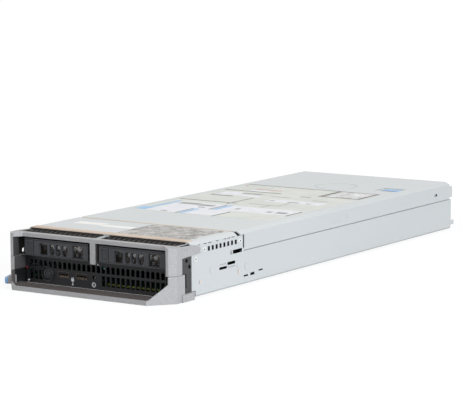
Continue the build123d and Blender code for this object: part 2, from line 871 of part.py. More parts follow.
def build_drive(left):
    """All pieces of one drive, as a table from short name to shape."""
    rims = drive_box(left, 0, carrier_width, rim_front, carrier_back, carrier_low, inner_low)
    rims += drive_box(left, 0, carrier_width, rim_front, carrier_back, inner_high, carrier_high)
    frame = rims + drive_box(left, 0, latch_post, post_front, carrier_back, carrier_low, carrier_high)
    frame += drive_box(
        left, right_post, carrier_width, right_post_front, carrier_back, carrier_low, carrier_high,
    )
    for u0 in (disk_side - rail_skin, carrier_width - disk_side):
        frame += drive_box(left, u0, u0 + rail_skin, post_front, rail_rear, rail_low, rail_high)
    pin_x = left + hinge_u
    pin_y = behind(hinge_depth)
    frame -= rod_z(pin_x, pin_y, carrier_low - cut_over, carrier_high + cut_over, hinge_radius)
    pin = rod_z(pin_x, pin_y, carrier_low, carrier_high, hinge_radius)

    disk = drive_box(
        left, disk_side, carrier_width - disk_side, disk_front, disk_front + disk_length,
        disk_low, disk_low + disk_height - disk_lid,
    )
    disk += drive_box(
        left, disk_side + disk_lid_inset, carrier_width - disk_side - disk_lid_inset,
        disk_front + disk_lid_inset, disk_front + disk_length - disk_lid_inset,
        disk_low, disk_low + disk_height,
    )
    disk -= rod_z(
        left + carrier_width / 2, behind(disk_front + disk_length / 2 - disk_lid_inset),
        disk_low + disk_height - disk_lid / 2, disk_low + disk_height + cut_over, spindle_radius,
    )

    mesh = drive_box(left, latch_post, right_post, mesh_front, mesh_front + mesh_skin, inner_low, inner_high)
    hole_radius = (mesh_pitch - mesh_wall) / math.sqrt(3)
    row_step = mesh_pitch * math.sqrt(3) / 2
    columns = math.floor((right_post - latch_post - mesh_pitch) / mesh_pitch)
    for row in (-1, 0, 1):
        shift = mesh_pitch / 2 * (row % 2)
        radius = hole_radius
        if row != 0:
            radius = hole_radius * (1 - mesh_wall / mesh_pitch)
        for column in range(columns):
            u = latch_post + mesh_first + column * mesh_pitch + shift
            z = (inner_low + inner_high) / 2 + row * row_step
            hole_place = Pos(left + u, behind(mesh_front + mesh_skin / 2), z) * Rot(90, 0, 0)
            hexagon = RegularPolygon(radius, hexagon_sides, rotation=hexagon_turn)
            mesh -= hole_place * extrude(hexagon, amount=cut_over, both=True)

    lever = drive_box(
        left, handle_left, carrier_width - handle_end_gap, carrier_face, carrier_face + handle_skin,
        inner_low + fit_gap, inner_high - fit_gap,
    )
    lever -= window(left, square_window_shares, small_window_low, small_window_high)
    for shares in round_window_shares:
        slot = window(left, shares, small_window_low, small_window_high)
        slot_half = carrier_width * (shares[1] - shares[0]) / 2
        lever -= fillet(slot.edges().filter_by(Axis.Y), slot_half - running_gap)
    lever -= window(left, large_window_shares, large_window_low, large_window_high)
    lever += rod_z(pin_x, pin_y, inner_low + fit_gap, inner_high - fit_gap, knuckle_radius)
    lever -= rod_z(
        pin_x, pin_y, inner_low - cut_over, inner_high + cut_over, hinge_radius + running_gap,
    )

    push = drive_box(
        left, handle_end_gap, button_block, carrier_face, carrier_face + button_depth,
        inner_low + fit_gap, inner_high - fit_gap,
    )
    push -= drive_box(
        left, handle_end_gap + grip_margin, button_block - grip_margin / 2, carrier_face - cut_over,
        carrier_face + grip_depth, inner_low + grip_margin, inner_high - grip_margin,
    )
    return {
        "carrier": frame, "carrier_hinge_pin": pin, "disk": disk, "carrier_mesh": mesh,
        "carrier_handle": lever, "carrier_button": push,
    }


for side, left in (("left", carrier_left), ("right", carrier_left + carrier_pitch)):
    for name, shape in build_drive(left).items():
        parts[f"{name}_{side}"] = shape

# Drive cage: floor, outer and middle walls, guide strips, front flanges and fixing tabs
cage_inset = 8.5
cage_half = half_width - cage_inset
cage_rear = 117.5
cage_top = 46.5
cage_floor_top = carrier_low - fit_gap
guide_low = 31.0
guide_high = 39.0
guide_front = 15.0
tab_depths = (36.0, 101.0)
cage_tab = 6.0
flange_depth = 21.5
bracket_gap = 0.35
cage = block(
    -cage_half, cage_half, floor_front, behind(cage_rear), cage_floor_top - sheet, cage_floor_top,
)
outer_guide = block(
    -cage_half + sheet / 2, carrier_left - fit_gap, behind(guide_front), behind(cage_rear),
    guide_low, guide_high,
)
outer_wall = block(
    -cage_half, -cage_half + sheet, behind(guide_front), behind(cage_rear),
    cage_floor_top - sheet, cage_top,
)
front_flange = block(
    -bracket_inner + bracket_gap, -cage_half + sheet, behind(flange_depth), behind(flange_depth) + sheet,
    cage_floor_top, top_bar_low,
)
fixing_tabs = [
    block(
        -half_width + sheet, -cage_half + sheet, behind(depth), behind(depth + cage_tab),
        cage_top - sheet, cage_top - sheet / 2,
    )
    for depth in tab_depths
]
cage_side = outer_wall + outer_guide + front_flange
for fixing_tab in fixing_tabs:
    cage_side += fixing_tab
inner_edge = carrier_left + carrier_width + fit_gap
middle = block(inner_edge, -inner_edge, behind(guide_front), behind(cage_rear), guide_low, guide_high)
middle += block(
    -sheet / 2, sheet / 2, behind(guide_front), behind(cage_rear), cage_floor_top - sheet, cage_top,
)
parts["drive_cage"] = cage + cage_side + mirrored(cage_side) + middle

# Drive backplane that stands on the system board, with one connector behind each disk
backplane_front = cage_rear + sheet / 2
connector_width = 42.0
connector_low = 28.6
connector_high = 34.4
backplane = block(
    -board_half + sheet, board_half - sheet, behind(backplane_front),
    behind(backplane_front) + board_skin, board_top, cage_top,
)
airway_low = 36.5
airway_high = 44.0
airway_half = 26.0
for centre_x in (carrier_left + carrier_width / 2, carrier_left + carrier_pitch + carrier_width / 2):
    backplane -= block(
        centre_x - airway_half, centre_x + airway_half, behind(backplane_front) - cut_over,
        behind(backplane_front) + board_skin + cut_over, airway_low, airway_high,
    )
parts["drive_backplane"] = backplane
parts["backplane_connectors"] = group(
    block(
        left + carrier_width / 2 - connector_width / 2, left + carrier_width / 2 + connector_width / 2,
        behind(disk_front + disk_length) + fit_gap, behind(backplane_front), connector_low, connector_high,
    )
    for left in (carrier_left, carrier_left + carrier_pitch)
)

# Two processors in line, each with a socket, a package with its lid, and a finned heatsink
processor_depths = (197.0, 347.0)
socket_length = 58.5
socket_width = 52.0
socket_height = 3.0
package_length = 52.5
package_width = 45.0
package_skin = 2.0
lid_size = 38.0
lid_skin = 2.0
memory_columns = 6
memory_pitch = 7.4
memory_inset = 5.4
memory_gap = 4.6
memory_first = board_half - memory_inset - (memory_columns - 1) * memory_pitch
sink_half = memory_first - memory_gap
sink_length = 92.0
sink_base = 4.0
sink_top = 46.0
fin_skin = 0.5
fin_count = 31
sink_screw_inset = 6.0
sink_screw_radius = 3.0
sink_screw_head = 3.0
package_low = board_top + socket_height
lid_low = package_low + package_skin
sink_low = lid_low + lid_skin


def centred(centre_y, width, length, low, high):
    """Box centred on the blade's middle plane and on a given Y."""
    return block(-width / 2, width / 2, centre_y - length / 2, centre_y + length / 2, low, high)


def heatsink(centre_y):
    shape = centred(centre_y, 2 * sink_half, sink_length, sink_low, sink_low + sink_base)
    fin_step = (2 * sink_half - fin_skin) / (fin_count - 1)
    corner_x = sink_half - sink_screw_inset
    corner_y = sink_length / 2 - sink_screw_inset
    fins = [
        block(
            -sink_half + index * fin_step, -sink_half + index * fin_step + fin_skin,
            centre_y - sink_length / 2, centre_y + sink_length / 2, sink_low + sink_base, sink_top,
        )
        for index in range(fin_count)
    ]
    shape = shape + fins
    for sign_x in (-1, 1):
        for sign_y in (-1, 1):
            shape -= rod_z(
                sign_x * corner_x, centre_y + sign_y * corner_y, sink_low + sink_base,
                sink_top + cut_over, sink_screw_radius + sheet,
            )
    return shape


def sink_screws(centre_y):
    corner_x = sink_half - sink_screw_inset
    corner_y = sink_length / 2 - sink_screw_inset
    return [
        rod_z(
            sign_x * corner_x, centre_y + sign_y * corner_y, sink_low + sink_base,
            sink_low + sink_base + sink_screw_head, sink_screw_radius,
        )
        for sign_x in (-1, 1)
        for sign_y in (-1, 1)
    ]


front_sink_y, rear_sink_y = [behind(depth) for depth in processor_depths]
parts["heatsink_front"] = heatsink(front_sink_y)
parts["heatsink_rear"] = heatsink(rear_sink_y)
parts["heatsink_screws"] = group(sink_screws(front_sink_y) + sink_screws(rear_sink_y))
parts["processor_sockets"] = group(
    centred(behind(depth), socket_width, socket_length, board_top, package_low)
    for depth in processor_depths
)
parts["processors"] = group(
    centred(behind(depth), package_width, package_length, package_low, lid_low)
    + centred(behind(depth), lid_size, lid_size, lid_low, sink_low)
    for depth in processor_depths
)

# Memory: two banks of sockets on each side of each heatsink, with modules, chips and latches
memory_length = 142.0
memory_width = 6.4
memory_socket_top = 13.0
module_length = 133.35
module_skin = 1.3
module_low = 8.2
module_high = 38.2
chip_count = 9
chip_pitch = 14.2
chip_length = 9.0
chip_skin = 0.9
chip_low = 20.0
chip_high = 31.0
latch_length = 4.0
latch_top = 21.0
latch_width = 4.6
latch_slope = 1.6
columns = [memory_first + index * memory_pitch for index in range(memory_columns)]
memory_places = [
    (sign * x, behind(depth)) for depth in processor_depths for sign in (-1, 1) for x in columns
]


def memory_socket(x, y):
    shape = block(
        x - memory_width / 2, x + memory_width / 2, y - memory_length / 2, y + memory_length / 2,
        board_top, memory_socket_top,
    )
    return shape - block(
        x - module_skin / 2, x + module_skin / 2, y - module_length / 2, y + module_length / 2,
        module_low, memory_socket_top + cut_over,
    )


def memory_module(x, y):
    return block(
        x - module_skin / 2, x + module_skin / 2, y - module_length / 2, y + module_length / 2,
        module_low, module_high,
    )


def module_chips(x, y):
    return [
        block(
            x + module_skin / 2, x + module_skin / 2 + chip_skin,
            y + (index - (chip_count - 1) / 2) * chip_pitch - chip_length / 2,
            y + (index - (chip_count - 1) / 2) * chip_pitch + chip_length / 2, chip_low, chip_high,
        )
        for index in range(chip_count)
    ]


def module_latch(x, y, sign):
    end = y + sign * memory_length / 2
    root = end - sign * latch_length
    outline = [
        (end, memory_socket_top),
        (end, latch_top),
        (end - sign * latch_slope, latch_top),
        (root, memory_socket_top + latch_slope),
        (root, memory_socket_top),
    ]
    return side_on(outline, x - latch_width / 2, x + latch_width / 2)


parts["memory_sockets"] = group(memory_socket(x, y) for x, y in memory_places)
parts["memory_modules"] = group(memory_module(x, y) for x, y in memory_places)
parts["memory_chips"] = group(chip for x, y in memory_places for chip in module_chips(x, y))
parts["memory_latches"] = group(
    module_latch(x, y, sign) for x, y in memory_places for sign in (-1, 1)
)

# Voltage regulators in rows in front of and behind each heatsink
coil_size = 9.0
coil_height = 7.0
coil_pitch = 14.0
coil_inset = 15.0
coil_count = round(2 * (sink_half - coil_inset) / coil_pitch) + 1
coil_gap = 7.0
parts["voltage_regulators"] = group(
    block(
        (index - (coil_count - 1) / 2) * coil_pitch - coil_size / 2,
        (index - (coil_count - 1) / 2) * coil_pitch + coil_size / 2,
        behind(depth) + sign * (sink_length / 2 + coil_gap) - coil_size / 2,
        behind(depth) + sign * (sink_length / 2 + coil_gap) + coil_size / 2,
        board_top, board_top + coil_height,
    )
    for depth in processor_depths
    for sign in (-1, 1)
    for index in range(coil_count)
)

# Rear expansion: two mezzanine cards, a network card below the left one, chipset and coin cell
card_inner = 18.0
card_inset = 6.5
card_outer = half_width - card_inset
card_front_inset = 88.0
card_rear_inset = 20.0
card_front = floor_rear - card_front_inset
card_rear = floor_rear - card_rear_inset
mezzanine_low = 21.0
network_low = 12.0
plug_length = 30.0
plug_width = 7.0
card_chip = 24.0
card_chip_height = 5.0
plug_inset = 10.0


def expansion_card(x0, x1, y0, y1, low):
    """Card on its board-to-board plug, with one large chip on top."""
    middle_x = (x0 + x1) / 2
    middle_y = (y0 + y1) / 2
    card = block(x0, x1, y0, y1, low, low + board_skin)
    card += block(
        middle_x - card_chip / 2, middle_x + card_chip / 2, middle_y - card_chip / 2,
        middle_y + card_chip / 2, low + board_skin, low + board_skin + card_chip_height,
    )
    return card


mezzanine_right = expansion_card(card_inner, card_outer, card_front, card_rear, mezzanine_low)
mezzanine_plug = block(
    card_outer - plug_inset, card_outer - plug_inset + plug_width, card_front + plug_inset,
    card_front + plug_inset + plug_length, board_top, mezzanine_low,
)
parts["mezzanine_card_right"] = mezzanine_right + mezzanine_plug
parts["mezzanine_card_left"] = mirrored(mezzanine_right + mezzanine_plug)
network_card = expansion_card(
    -card_outer + 2 * plug_inset, -card_inner, card_front, card_rear, network_low,
)
network_card += block(
    -card_inner - plug_inset, -card_inner - plug_inset + plug_width, card_front + plug_inset,
    card_front + plug_inset + plug_length, board_top, network_low,
)
parts["network_card"] = network_card

chipset_half = 14.0
chipset_inset = 75.0
chipset_top = 22.0
chipset_base = 3.0
chipset_fin = 1.0
chipset_fins = 8
chipset_y = floor_rear - chipset_inset
chipset_sink = block(
    -chipset_half, chipset_half, chipset_y - chipset_half, chipset_y + chipset_half,
    board_top, board_top + chipset_base,
)
chipset_step = (2 * chipset_half - chipset_fin) / (chipset_fins - 1)
for index in range(chipset_fins):
    fin_left = -chipset_half + index * chipset_step
    chipset_sink += block(
        fin_left, fin_left + chipset_fin, chipset_y - chipset_half, chipset_y + chipset_half,
        board_top + chipset_base, chipset_top,
    )
parts["chipset_heatsink"] = chipset_sink

cell_radius = 10.0
cell_height = 3.2
cell_inset = 43.0
cell_y = floor_rear - cell_inset
cell_wall = 1.4
holder = rod_z(0, cell_y, board_top, board_top + cell_height, cell_radius + cell_wall)
holder -= rod_z(
    0, cell_y, board_top + cell_wall, board_top + cell_height + cut_over, cell_radius,
)
parts["coin_cell_holder"] = holder
parts["coin_cell"] = rod_z(
    0, cell_y, board_top + cell_wall, board_top + cell_wall + cell_height, cell_radius,
)

# Storage controller card and flash card riser below the drive cage
controller_low = 13.0
controller_inset = 20.0
controller_left = -board_half + controller_inset
controller_right = -12.0
controller_front_depth = 48.0
controller_rear_depth = 108.0
controller_front = behind(controller_front_depth)
controller_rear = behind(controller_rear_depth)
parts["storage_controller"] = expansion_card(
    controller_left, controller_right, controller_front, controller_rear, controller_low,
) + block(
    controller_left, controller_left + plug_width, controller_front + plug_inset,
    controller_front + plug_inset + plug_length, board_top, controller_low,
)
riser_inset = 32.0
riser_x = board_half - riser_inset
riser_front = 38.0
riser_rear = 96.0
riser_top = 23.0
flash_width = 2.1
flash_slot = 3.4
flash_low = 9.0
flash_high = 21.0
card_riser = block(
    riser_x, riser_x + board_skin, behind(riser_front), behind(riser_rear), board_top, riser_top,
)
card_slots = block(
    riser_x + board_skin, riser_x + board_skin + flash_slot, behind(riser_front + flash_slot),
    behind(riser_rear - flash_slot), flash_low - flash_width / 2, flash_high,
)
parts["flash_card_riser"] = card_riser + card_slots

# Rear connectors that mate with the enclosure: two fabric blocks, power block, guide sockets
connector_reach = 6.0
connector_clear = 0.3
block_depth = 16.0
fabric_half = fabric_window / 2 - connector_clear
power_half = power_window / 2 - connector_clear
rear_plug_low = rear_window_low + connector_clear
rear_plug_high = rear_window_high - connector_clear
cavity_rows = 2
cavity_columns = 8
cavity_wall = 1.6
cavity_depth = 4.0


def rear_block(centre_x, half, columns_of_cavities):
    """Connector housing with a grid of blind cavities in its rear face."""
    rear = floor_rear + connector_reach
    shape = block(
        centre_x - half, centre_x + half, floor_rear - block_depth, rear, rear_plug_low, rear_plug_high,
    )
    shape += block(
        centre_x - half, centre_x + half, floor_rear - block_depth, floor_rear - sheet - connector_clear,
        board_top, rear_plug_low,
    )
    cell_width = (2 * half - cavity_wall) / columns_of_cavities
    cell_tall = (rear_plug_high - rear_plug_low - cavity_wall) / cavity_rows
    for column in range(columns_of_cavities):
        for row in range(cavity_rows):
            x0 = centre_x - half + cavity_wall + column * cell_width
            z0 = rear_plug_low + cavity_wall + row * cell_tall
            shape -= block(
                x0, x0 + cell_width - cavity_wall, rear - cavity_depth, rear + cut_over,
                z0, z0 + cell_tall - cavity_wall,
            )
    return shape


parts["fabric_connectors"] = group(
    rear_block(sign * window_pitch, fabric_half, cavity_columns) for sign in (-1, 1)
)
parts["rear_power_connector"] = rear_block(0, power_half, cavity_columns // 2)

guide_z = 16.0
guide_bore = 3.05
guide_length = 18.0
guide_top = 24.0
guide_reach = 1.0
guide_rear = floor_rear + guide_reach
guide_front = guide_rear - guide_length
guide = block(
    guide_x - guide_half, guide_x + guide_half, guide_front, guide_rear, rear_plug_low, guide_top,
)
guide += block(
    guide_x - guide_half, guide_x + guide_half, guide_front, floor_rear - sheet - guide_clear,
    sheet, rear_plug_low,
)
guide -= rod_y(guide_x, guide_z, guide_front - cut_over, guide_rear + cut_over, guide_bore)
parts["rear_guide_sockets"] = group([guide, mirrored(guide)])
board_corner = block(
    guide_x - guide_half - connector_clear, half_width, guide_front - connector_clear,
    board_rear + cut_over, board_low - cut_over, board_top + cut_over,
)
parts["system_board"] = parts["system_board"] - board_corner - mirrored(board_corner)
parts["base_tray"] = base_tray

# Fasteners on the tray's sides: pan-head screws and flat rivets, as depth and height
screw_radius = 2.3
screw_head = 0.7
screw_recess = 0.8
recess_depth = 0.5
rivet_radius = 2.0
rivet_head = 0.4
screw_places = [(30.3, 34.2), (44.3, 41.1), (103.2, 41.2)]
rivet_places = [(38.3, 12.2), (101.6, 12.5)]


def side_heads(places, head, radius):
    right = [rod_x(behind(depth), z, half_width, half_width + head, radius) for depth, z in places]
    return right + [mirrored(shape) for shape in right]


recesses = side_heads(screw_places, screw_head + cut_over, screw_recess)
recess_floor = half_width + screw_head - recess_depth
screws = []
for head, recess in zip(side_heads(screw_places, screw_head, screw_radius), recesses):
    recess -= block(-recess_floor, recess_floor, floor_front, floor_rear, 0, cover_top)
    screws.append(head - recess)
parts["case_screws"] = group(screws)
parts["side_rivets"] = group(side_heads(rivet_places, rivet_head, rivet_radius))

# Top cover: one sheet with sloped shoulders, long side flanges, a rear lip and a latch recess
cover_rear_inset = 1.5
flange_over = 4.5
cover_rear = floor_rear - cover_rear_inset
cover_front = panel_rear + thin_gasket + fit_gap
flange_rear = floor_rear + flange_over
flange_low = 33.3
flange_high = 45.0
lip_low = 44.0
corner_notch = 2.6
catch_low = 37.7
catch_high = 40.2
catch_inset = 35.0
catch_length = 5.7
catch_front = floor_rear - catch_inset
cup_inset = 6.2
cup_width = 26.5
cup_from_rear = 100.0
cup_length = 22.0
cup_right = half_top - cup_inset
cup_left = cup_right - cup_width
cup_front = floor_rear - cup_from_rear
cup_rear = cup_front + cup_length
cup_low = 45.8
cup_sink = 1.2
latch_side_gap = 3.0
cover_latch_width = 18.0
latch_front_gap = 5.0
cover_latch_length = 13.0
latch_right = cup_right - latch_side_gap
latch_left = latch_right - cover_latch_width
latch_front = cup_front + latch_front_gap
latch_rear = latch_front + cover_latch_length
latch_rise = 0.9
latch_low = 47.9
latch_floor = 46.6
latch_round = 0.6

cover = front_on(shell_outline(seam_z), cover_start + joint_slot / 2, cover_rear)
cover += front_on(
    shell_outline(lip_z + fit_gap), cover_front, cover_start + joint_slot / 2 + sheet,
)
cover += block(
    -half_top, half_top, cover_rear - sheet, cover_rear, lip_low, cover_top - sheet / 2,
)
for sign in (-1, 1):
    inner_x, outer_x = sorted((sign * (half_width - sheet), sign * half_width))
    cover += block(inner_x, outer_x, cover_rear - sheet, flange_rear, flange_low, flange_high)
    cover -= block(
        inner_x - cut_over, outer_x + cut_over, catch_front, catch_front + catch_length,
        catch_low, catch_high,
    )
    notch_inner, notch_outer = sorted((sign * (half_top - sheet), sign * (half_width + cut_over)))
    cover -= block(
        notch_inner, notch_outer, cover_front - cut_over, cover_front + corner_notch,
        lip_z, cover_top + cut_over,
    )
cover -= block(
    cup_left, cup_right, cup_front, cup_rear, cover_top - sheet - cut_over, cover_top + cut_over,
)
emboss_depth = 0.3
flange_emboss = (240.0, 298.0, 36.4, 42.0)
near, far, low, high = flange_emboss
for inner_x, outer_x in (
    (-half_width - cut_over, -half_width + emboss_depth), (half_width - emboss_depth, half_width + cut_over),
):
    cover -= block(inner_x, outer_x, behind(near), behind(far), low, high)
emboss_radius = 23.0
emboss_x = 6.5
emboss_inset = 93.5
emboss_rim = 1.2
emboss_y = floor_rear - emboss_inset
emboss = rod_z(emboss_x, emboss_y, cover_top - emboss_depth, cover_top + cut_over, emboss_radius)
emboss -= rod_z(
    emboss_x, emboss_y, cover_top - sheet, cover_top + 2 * cut_over, emboss_radius - emboss_rim,
)
cover -= emboss
parts["top_cover"] = cover
cup = block(cup_left, cup_right, cup_front, cup_rear, cup_low, cover_top - cup_sink)
cup -= block(
    latch_left - fit_gap, latch_right + fit_gap, latch_front - fit_gap, latch_rear + fit_gap,
    latch_floor, cover_top,
)
cup_rim = block(
    cup_left - sheet, cup_right + sheet, cup_front - sheet, cup_rear + sheet,
    cup_low, cover_top - sheet,
)
cup_rim -= block(cup_left, cup_right, cup_front, cup_rear, cup_low - cut_over, cover_top)
parts["cover_latch_cup"] = cup + cup_rim
cover_latch = block(
    latch_left, latch_right, latch_front, latch_rear, latch_low, cover_top - cup_sink + latch_rise,
)
parts["cover_latch"] = fillet(cover_latch.edges().group_by(Axis.Z)[-1], latch_round)


for name, shape in parts.items():
    export_step(shape, f"parts/{name}.step")
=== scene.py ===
import bpy
import bmesh
import math
from mathutils import Matrix, Vector
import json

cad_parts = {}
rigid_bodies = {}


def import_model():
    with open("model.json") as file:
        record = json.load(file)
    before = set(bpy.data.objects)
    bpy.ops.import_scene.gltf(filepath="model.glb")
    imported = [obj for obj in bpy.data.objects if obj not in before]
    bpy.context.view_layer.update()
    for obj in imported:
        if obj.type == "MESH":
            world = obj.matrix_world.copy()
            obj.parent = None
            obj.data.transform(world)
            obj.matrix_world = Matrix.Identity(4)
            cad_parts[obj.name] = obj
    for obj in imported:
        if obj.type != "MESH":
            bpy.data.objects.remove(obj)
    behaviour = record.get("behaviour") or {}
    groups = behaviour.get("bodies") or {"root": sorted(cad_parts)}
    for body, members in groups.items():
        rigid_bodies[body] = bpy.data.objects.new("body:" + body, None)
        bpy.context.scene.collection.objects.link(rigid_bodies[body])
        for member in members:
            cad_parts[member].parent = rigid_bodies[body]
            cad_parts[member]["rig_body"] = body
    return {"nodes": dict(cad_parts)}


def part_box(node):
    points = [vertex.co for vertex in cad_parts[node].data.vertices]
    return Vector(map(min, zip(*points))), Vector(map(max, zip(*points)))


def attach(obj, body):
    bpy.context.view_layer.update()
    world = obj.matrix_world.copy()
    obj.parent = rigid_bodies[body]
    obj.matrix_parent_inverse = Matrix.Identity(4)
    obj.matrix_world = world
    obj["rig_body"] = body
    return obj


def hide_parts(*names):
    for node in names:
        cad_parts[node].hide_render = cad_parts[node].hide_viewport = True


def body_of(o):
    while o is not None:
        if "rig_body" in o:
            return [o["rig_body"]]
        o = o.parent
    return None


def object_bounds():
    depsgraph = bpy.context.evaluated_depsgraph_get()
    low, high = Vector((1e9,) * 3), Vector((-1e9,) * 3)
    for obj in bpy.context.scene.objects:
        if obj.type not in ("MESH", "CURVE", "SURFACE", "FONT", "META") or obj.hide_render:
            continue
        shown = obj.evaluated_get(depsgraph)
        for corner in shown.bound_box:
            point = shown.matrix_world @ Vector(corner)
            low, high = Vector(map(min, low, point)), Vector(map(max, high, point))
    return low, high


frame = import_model()
cad_low, cad_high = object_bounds()
MM = 0.001

# The photographer's view: a long lens at the height of a low table, turned towards the blade's
# right side. The photograph is 460 by 400, and the lens follows from its focal length in pixels.
photo_width = 460
focal_pixels = 2258.5
film_width = 36.0
view_turn = math.radians(33.557)
view_rise = math.radians(7.889)
view_roll = math.radians(-0.323)
view_place = Vector((1.2255, -1.8829, 0.3648))

towards_camera = Vector((
    math.sin(view_turn) * math.cos(view_rise),
    -math.cos(view_turn) * math.cos(view_rise),
    math.sin(view_rise),
))
level_right = Vector((math.cos(view_turn), math.sin(view_turn), 0))
level_up = towards_camera.cross(level_right)
picture_right = math.cos(view_roll) * level_right + math.sin(view_roll) * level_up
picture_up = math.cos(view_roll) * level_up - math.sin(view_roll) * level_right
camera_data = bpy.data.cameras.new("photo_camera")
camera_data.sensor_width = film_width
camera_data.lens = focal_pixels * film_width / photo_width
camera_data.clip_start = 0.1
camera_data.clip_end = 30.0
camera = bpy.data.objects.new("photo_camera", camera_data)
turned = Matrix((picture_right, picture_up, towards_camera)).transposed().to_4x4()
camera.matrix_world = Matrix.Translation(view_place) @ turned
bpy.context.collection.objects.link(camera)
bpy.context.scene.camera = camera


# The studio: a white room, three soft boxes and a white paper floor that keeps a faint shadow
# near the blade. The camera sees plain white round the blade, and so do gloss and glass.
def linear(code):
    """Linear colour of an sRGB hex value such as #D4D6D5."""
    channels = [int(code[i:i + 2], 16) / 255 for i in (1, 3, 5)]
    curved = [c / 12.92 if c <= 0.04045 else ((c + 0.055) / 1.055) ** 2.4 for c in channels]
    return (*curved, 1.0)


def add(tree, kind, inputs=None, **settings):
    """Adds a shader node, sets it, and fills each input with a value or a link from a socket."""
    node = tree.nodes.new(kind)
    for name, value in settings.items():
        setattr(node, name, value)
    for name, value in (inputs or {}).items():
        if isinstance(value, bpy.types.NodeSocket):
            tree.links.new(value, node.inputs[name])
        else:
            node.inputs[name].default_value = value
    return node


def seen_directly(tree):
    """1 for rays from the camera, a glossy surface or through glass, and 0 for diffuse light."""
    ray = add(tree, "ShaderNodeLightPath").outputs
    shown = add(tree, "ShaderNodeMath", {0: ray["Is Camera Ray"], 1: ray["Is Glossy Ray"]},
                operation="ADD")
    seen = add(tree, "ShaderNodeMath", {0: shown.outputs[0], 1: ray["Is Transmission Ray"]},
               operation="ADD", use_clamp=True)
    return seen.outputs[0]


room_light = 0.42
room_colour = linear("#F4F8FF")
world = bpy.data.worlds.new("white_room")
world.use_nodes = True
room = world.node_tree
room.nodes.clear()
glow = add(room, "ShaderNodeBackground", {"Color": room_colour, "Strength": room_light})
white = add(room, "ShaderNodeBackground", {"Color": (1, 1, 1, 1), "Strength": 1.0})
choice = add(room, "ShaderNodeMixShader", {
    0: seen_directly(room), 1: glow.outputs[0], 2: white.outputs[0],
})
add(room, "ShaderNodeOutputWorld", {"Surface": choice.outputs[0]})
bpy.context.scene.world = world


def soft_box(name, place, aim, width, height, watts, colour):
    lamp = bpy.data.lights.new(name, "AREA")
    lamp.shape = "RECTANGLE"
    lamp.size = width
    lamp.size_y = height
    lamp.energy = watts
    lamp.color = linear(colour)[:3]
    holder = bpy.data.objects.new(name, lamp)
    holder.location = place
    holder.rotation_euler = (Vector(aim) - Vector(place)).to_track_quat("-Z", "Y").to_euler()
    bpy.context.collection.objects.link(holder)


soft_box("side_box", (1.85, -0.7, 0.7), (0.1, -0.15, 0.02), 1.4, 1.2, 31, "#F1F8FF")
soft_box("overhead_box", (-0.2, 0.2, 1.7), (0, 0, 0.02), 1.6, 1.4, 10.5, "#FFFCF6")
soft_box("front_box", (0.9, -1.9, 0.9), (0, -0.25, 0.02), 0.9, 0.7, 5, "#FFFFFF")

floor_size = 6.0
floor_height = cad_low[2] - 0.0003
shadow_share = 0.14
shadow_full = 0.28
shadow_gone = 0.45
sweep = bmesh.new()
bmesh.ops.create_grid(sweep, x_segments=1, y_segments=1, size=floor_size)
bmesh.ops.translate(sweep, verts=sweep.verts, vec=(0, 0, floor_height))
floor_mesh = bpy.data.meshes.new("paper_floor")
sweep.to_mesh(floor_mesh)
sweep.free()
paper_floor = bpy.data.objects.new("paper_floor", floor_mesh)
bpy.context.collection.objects.link(paper_floor)
paper = bpy.data.materials.new("white_paper_floor")
paper.use_nodes = True
sheet = paper.node_tree
sheet.nodes.clear()
place = add(sheet, "ShaderNodeTexCoord").outputs["Object"]
away = add(sheet, "ShaderNodeVectorMath", {0: place}, operation="LENGTH")
kept = add(sheet, "ShaderNodeMapRange", {
    "Value": away.outputs["Value"], "From Min": shadow_full, "From Max": shadow_gone,
    "To Min": shadow_share, "To Max": 0.0,
}, interpolation_type="SMOOTHSTEP")
lit = add(sheet, "ShaderNodeBsdfDiffuse", {"Color": linear("#D9DADB")})
catcher = add(sheet, "ShaderNodeBsdfDiffuse", {"Color": (1, 1, 1, 1)})
clean = add(sheet, "ShaderNodeEmission", {"Color": (1, 1, 1, 1), "Strength": 1.02})
shaded = add(sheet, "ShaderNodeMixShader", {
    0: kept.outputs[0], 1: clean.outputs[0], 2: catcher.outputs[0],
})
surface = add(sheet, "ShaderNodeMixShader", {
    0: seen_directly(sheet), 1: lit.outputs[0], 2: shaded.outputs[0],
})
add(sheet, "ShaderNodeOutputMaterial", {"Surface": surface.outputs[0]})
floor_mesh.materials.append(paper)


# Tray, cover, front panel and latch cup: galvanised steel sheet, cut, pierced and folded. Zinc is a
# pale blue-grey satin with a rolled grain, drawn at 0.6 mm so that it shows. Painted shade darkens
# the side walls along the bottom bend and the cover's sides along its seam and upper fold, and the
# cut edges round each opening are painted near-black as shade, a black line round each opening.
def start_material(name):
    """A new material with an empty tree, and the object's coordinates in metres."""
    material = bpy.data.materials.new(name)
    material.use_nodes = True
    tree = material.node_tree
    tree.nodes.clear()
    return material, tree, add(tree, "ShaderNodeTexCoord").outputs["Object"]


def paint(material, *nodes):
    for node in nodes:
        for holder in frame["nodes"][node].material_slots:
            holder.material = material


def shaped_like(node, name, *finishes):
    """A merged copy of a CAD node's mesh with these finishes, riding where the node rides."""
    source = frame["nodes"][node]
    work = bmesh.new()
    work.from_mesh(source.data)
    bmesh.ops.remove_doubles(work, verts=work.verts, dist=0.001 * MM)
    bmesh.ops.dissolve_limit(work, angle_limit=math.radians(1), verts=work.verts, edges=work.edges)
    mesh = bpy.data.meshes.new(name)
    work.to_mesh(mesh)
    work.free()
    mesh.materials.clear()
    for finish in finishes:
        mesh.materials.append(finish)
    for face in mesh.polygons:
        face.material_index = 0
        face.use_smooth = False
    piece = bpy.data.objects.new(name, mesh)
    bpy.context.collection.objects.link(piece)
    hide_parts(node)
    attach(piece, body_of(source)[0])
    return piece


def second_finish(piece, belongs, index=1):
    """Gives a piece's other finish to the faces whose centre in millimetres and normal say so."""
    for face in piece.data.polygons:
        if belongs(face.center / MM, face.normal):
            face.material_index = index


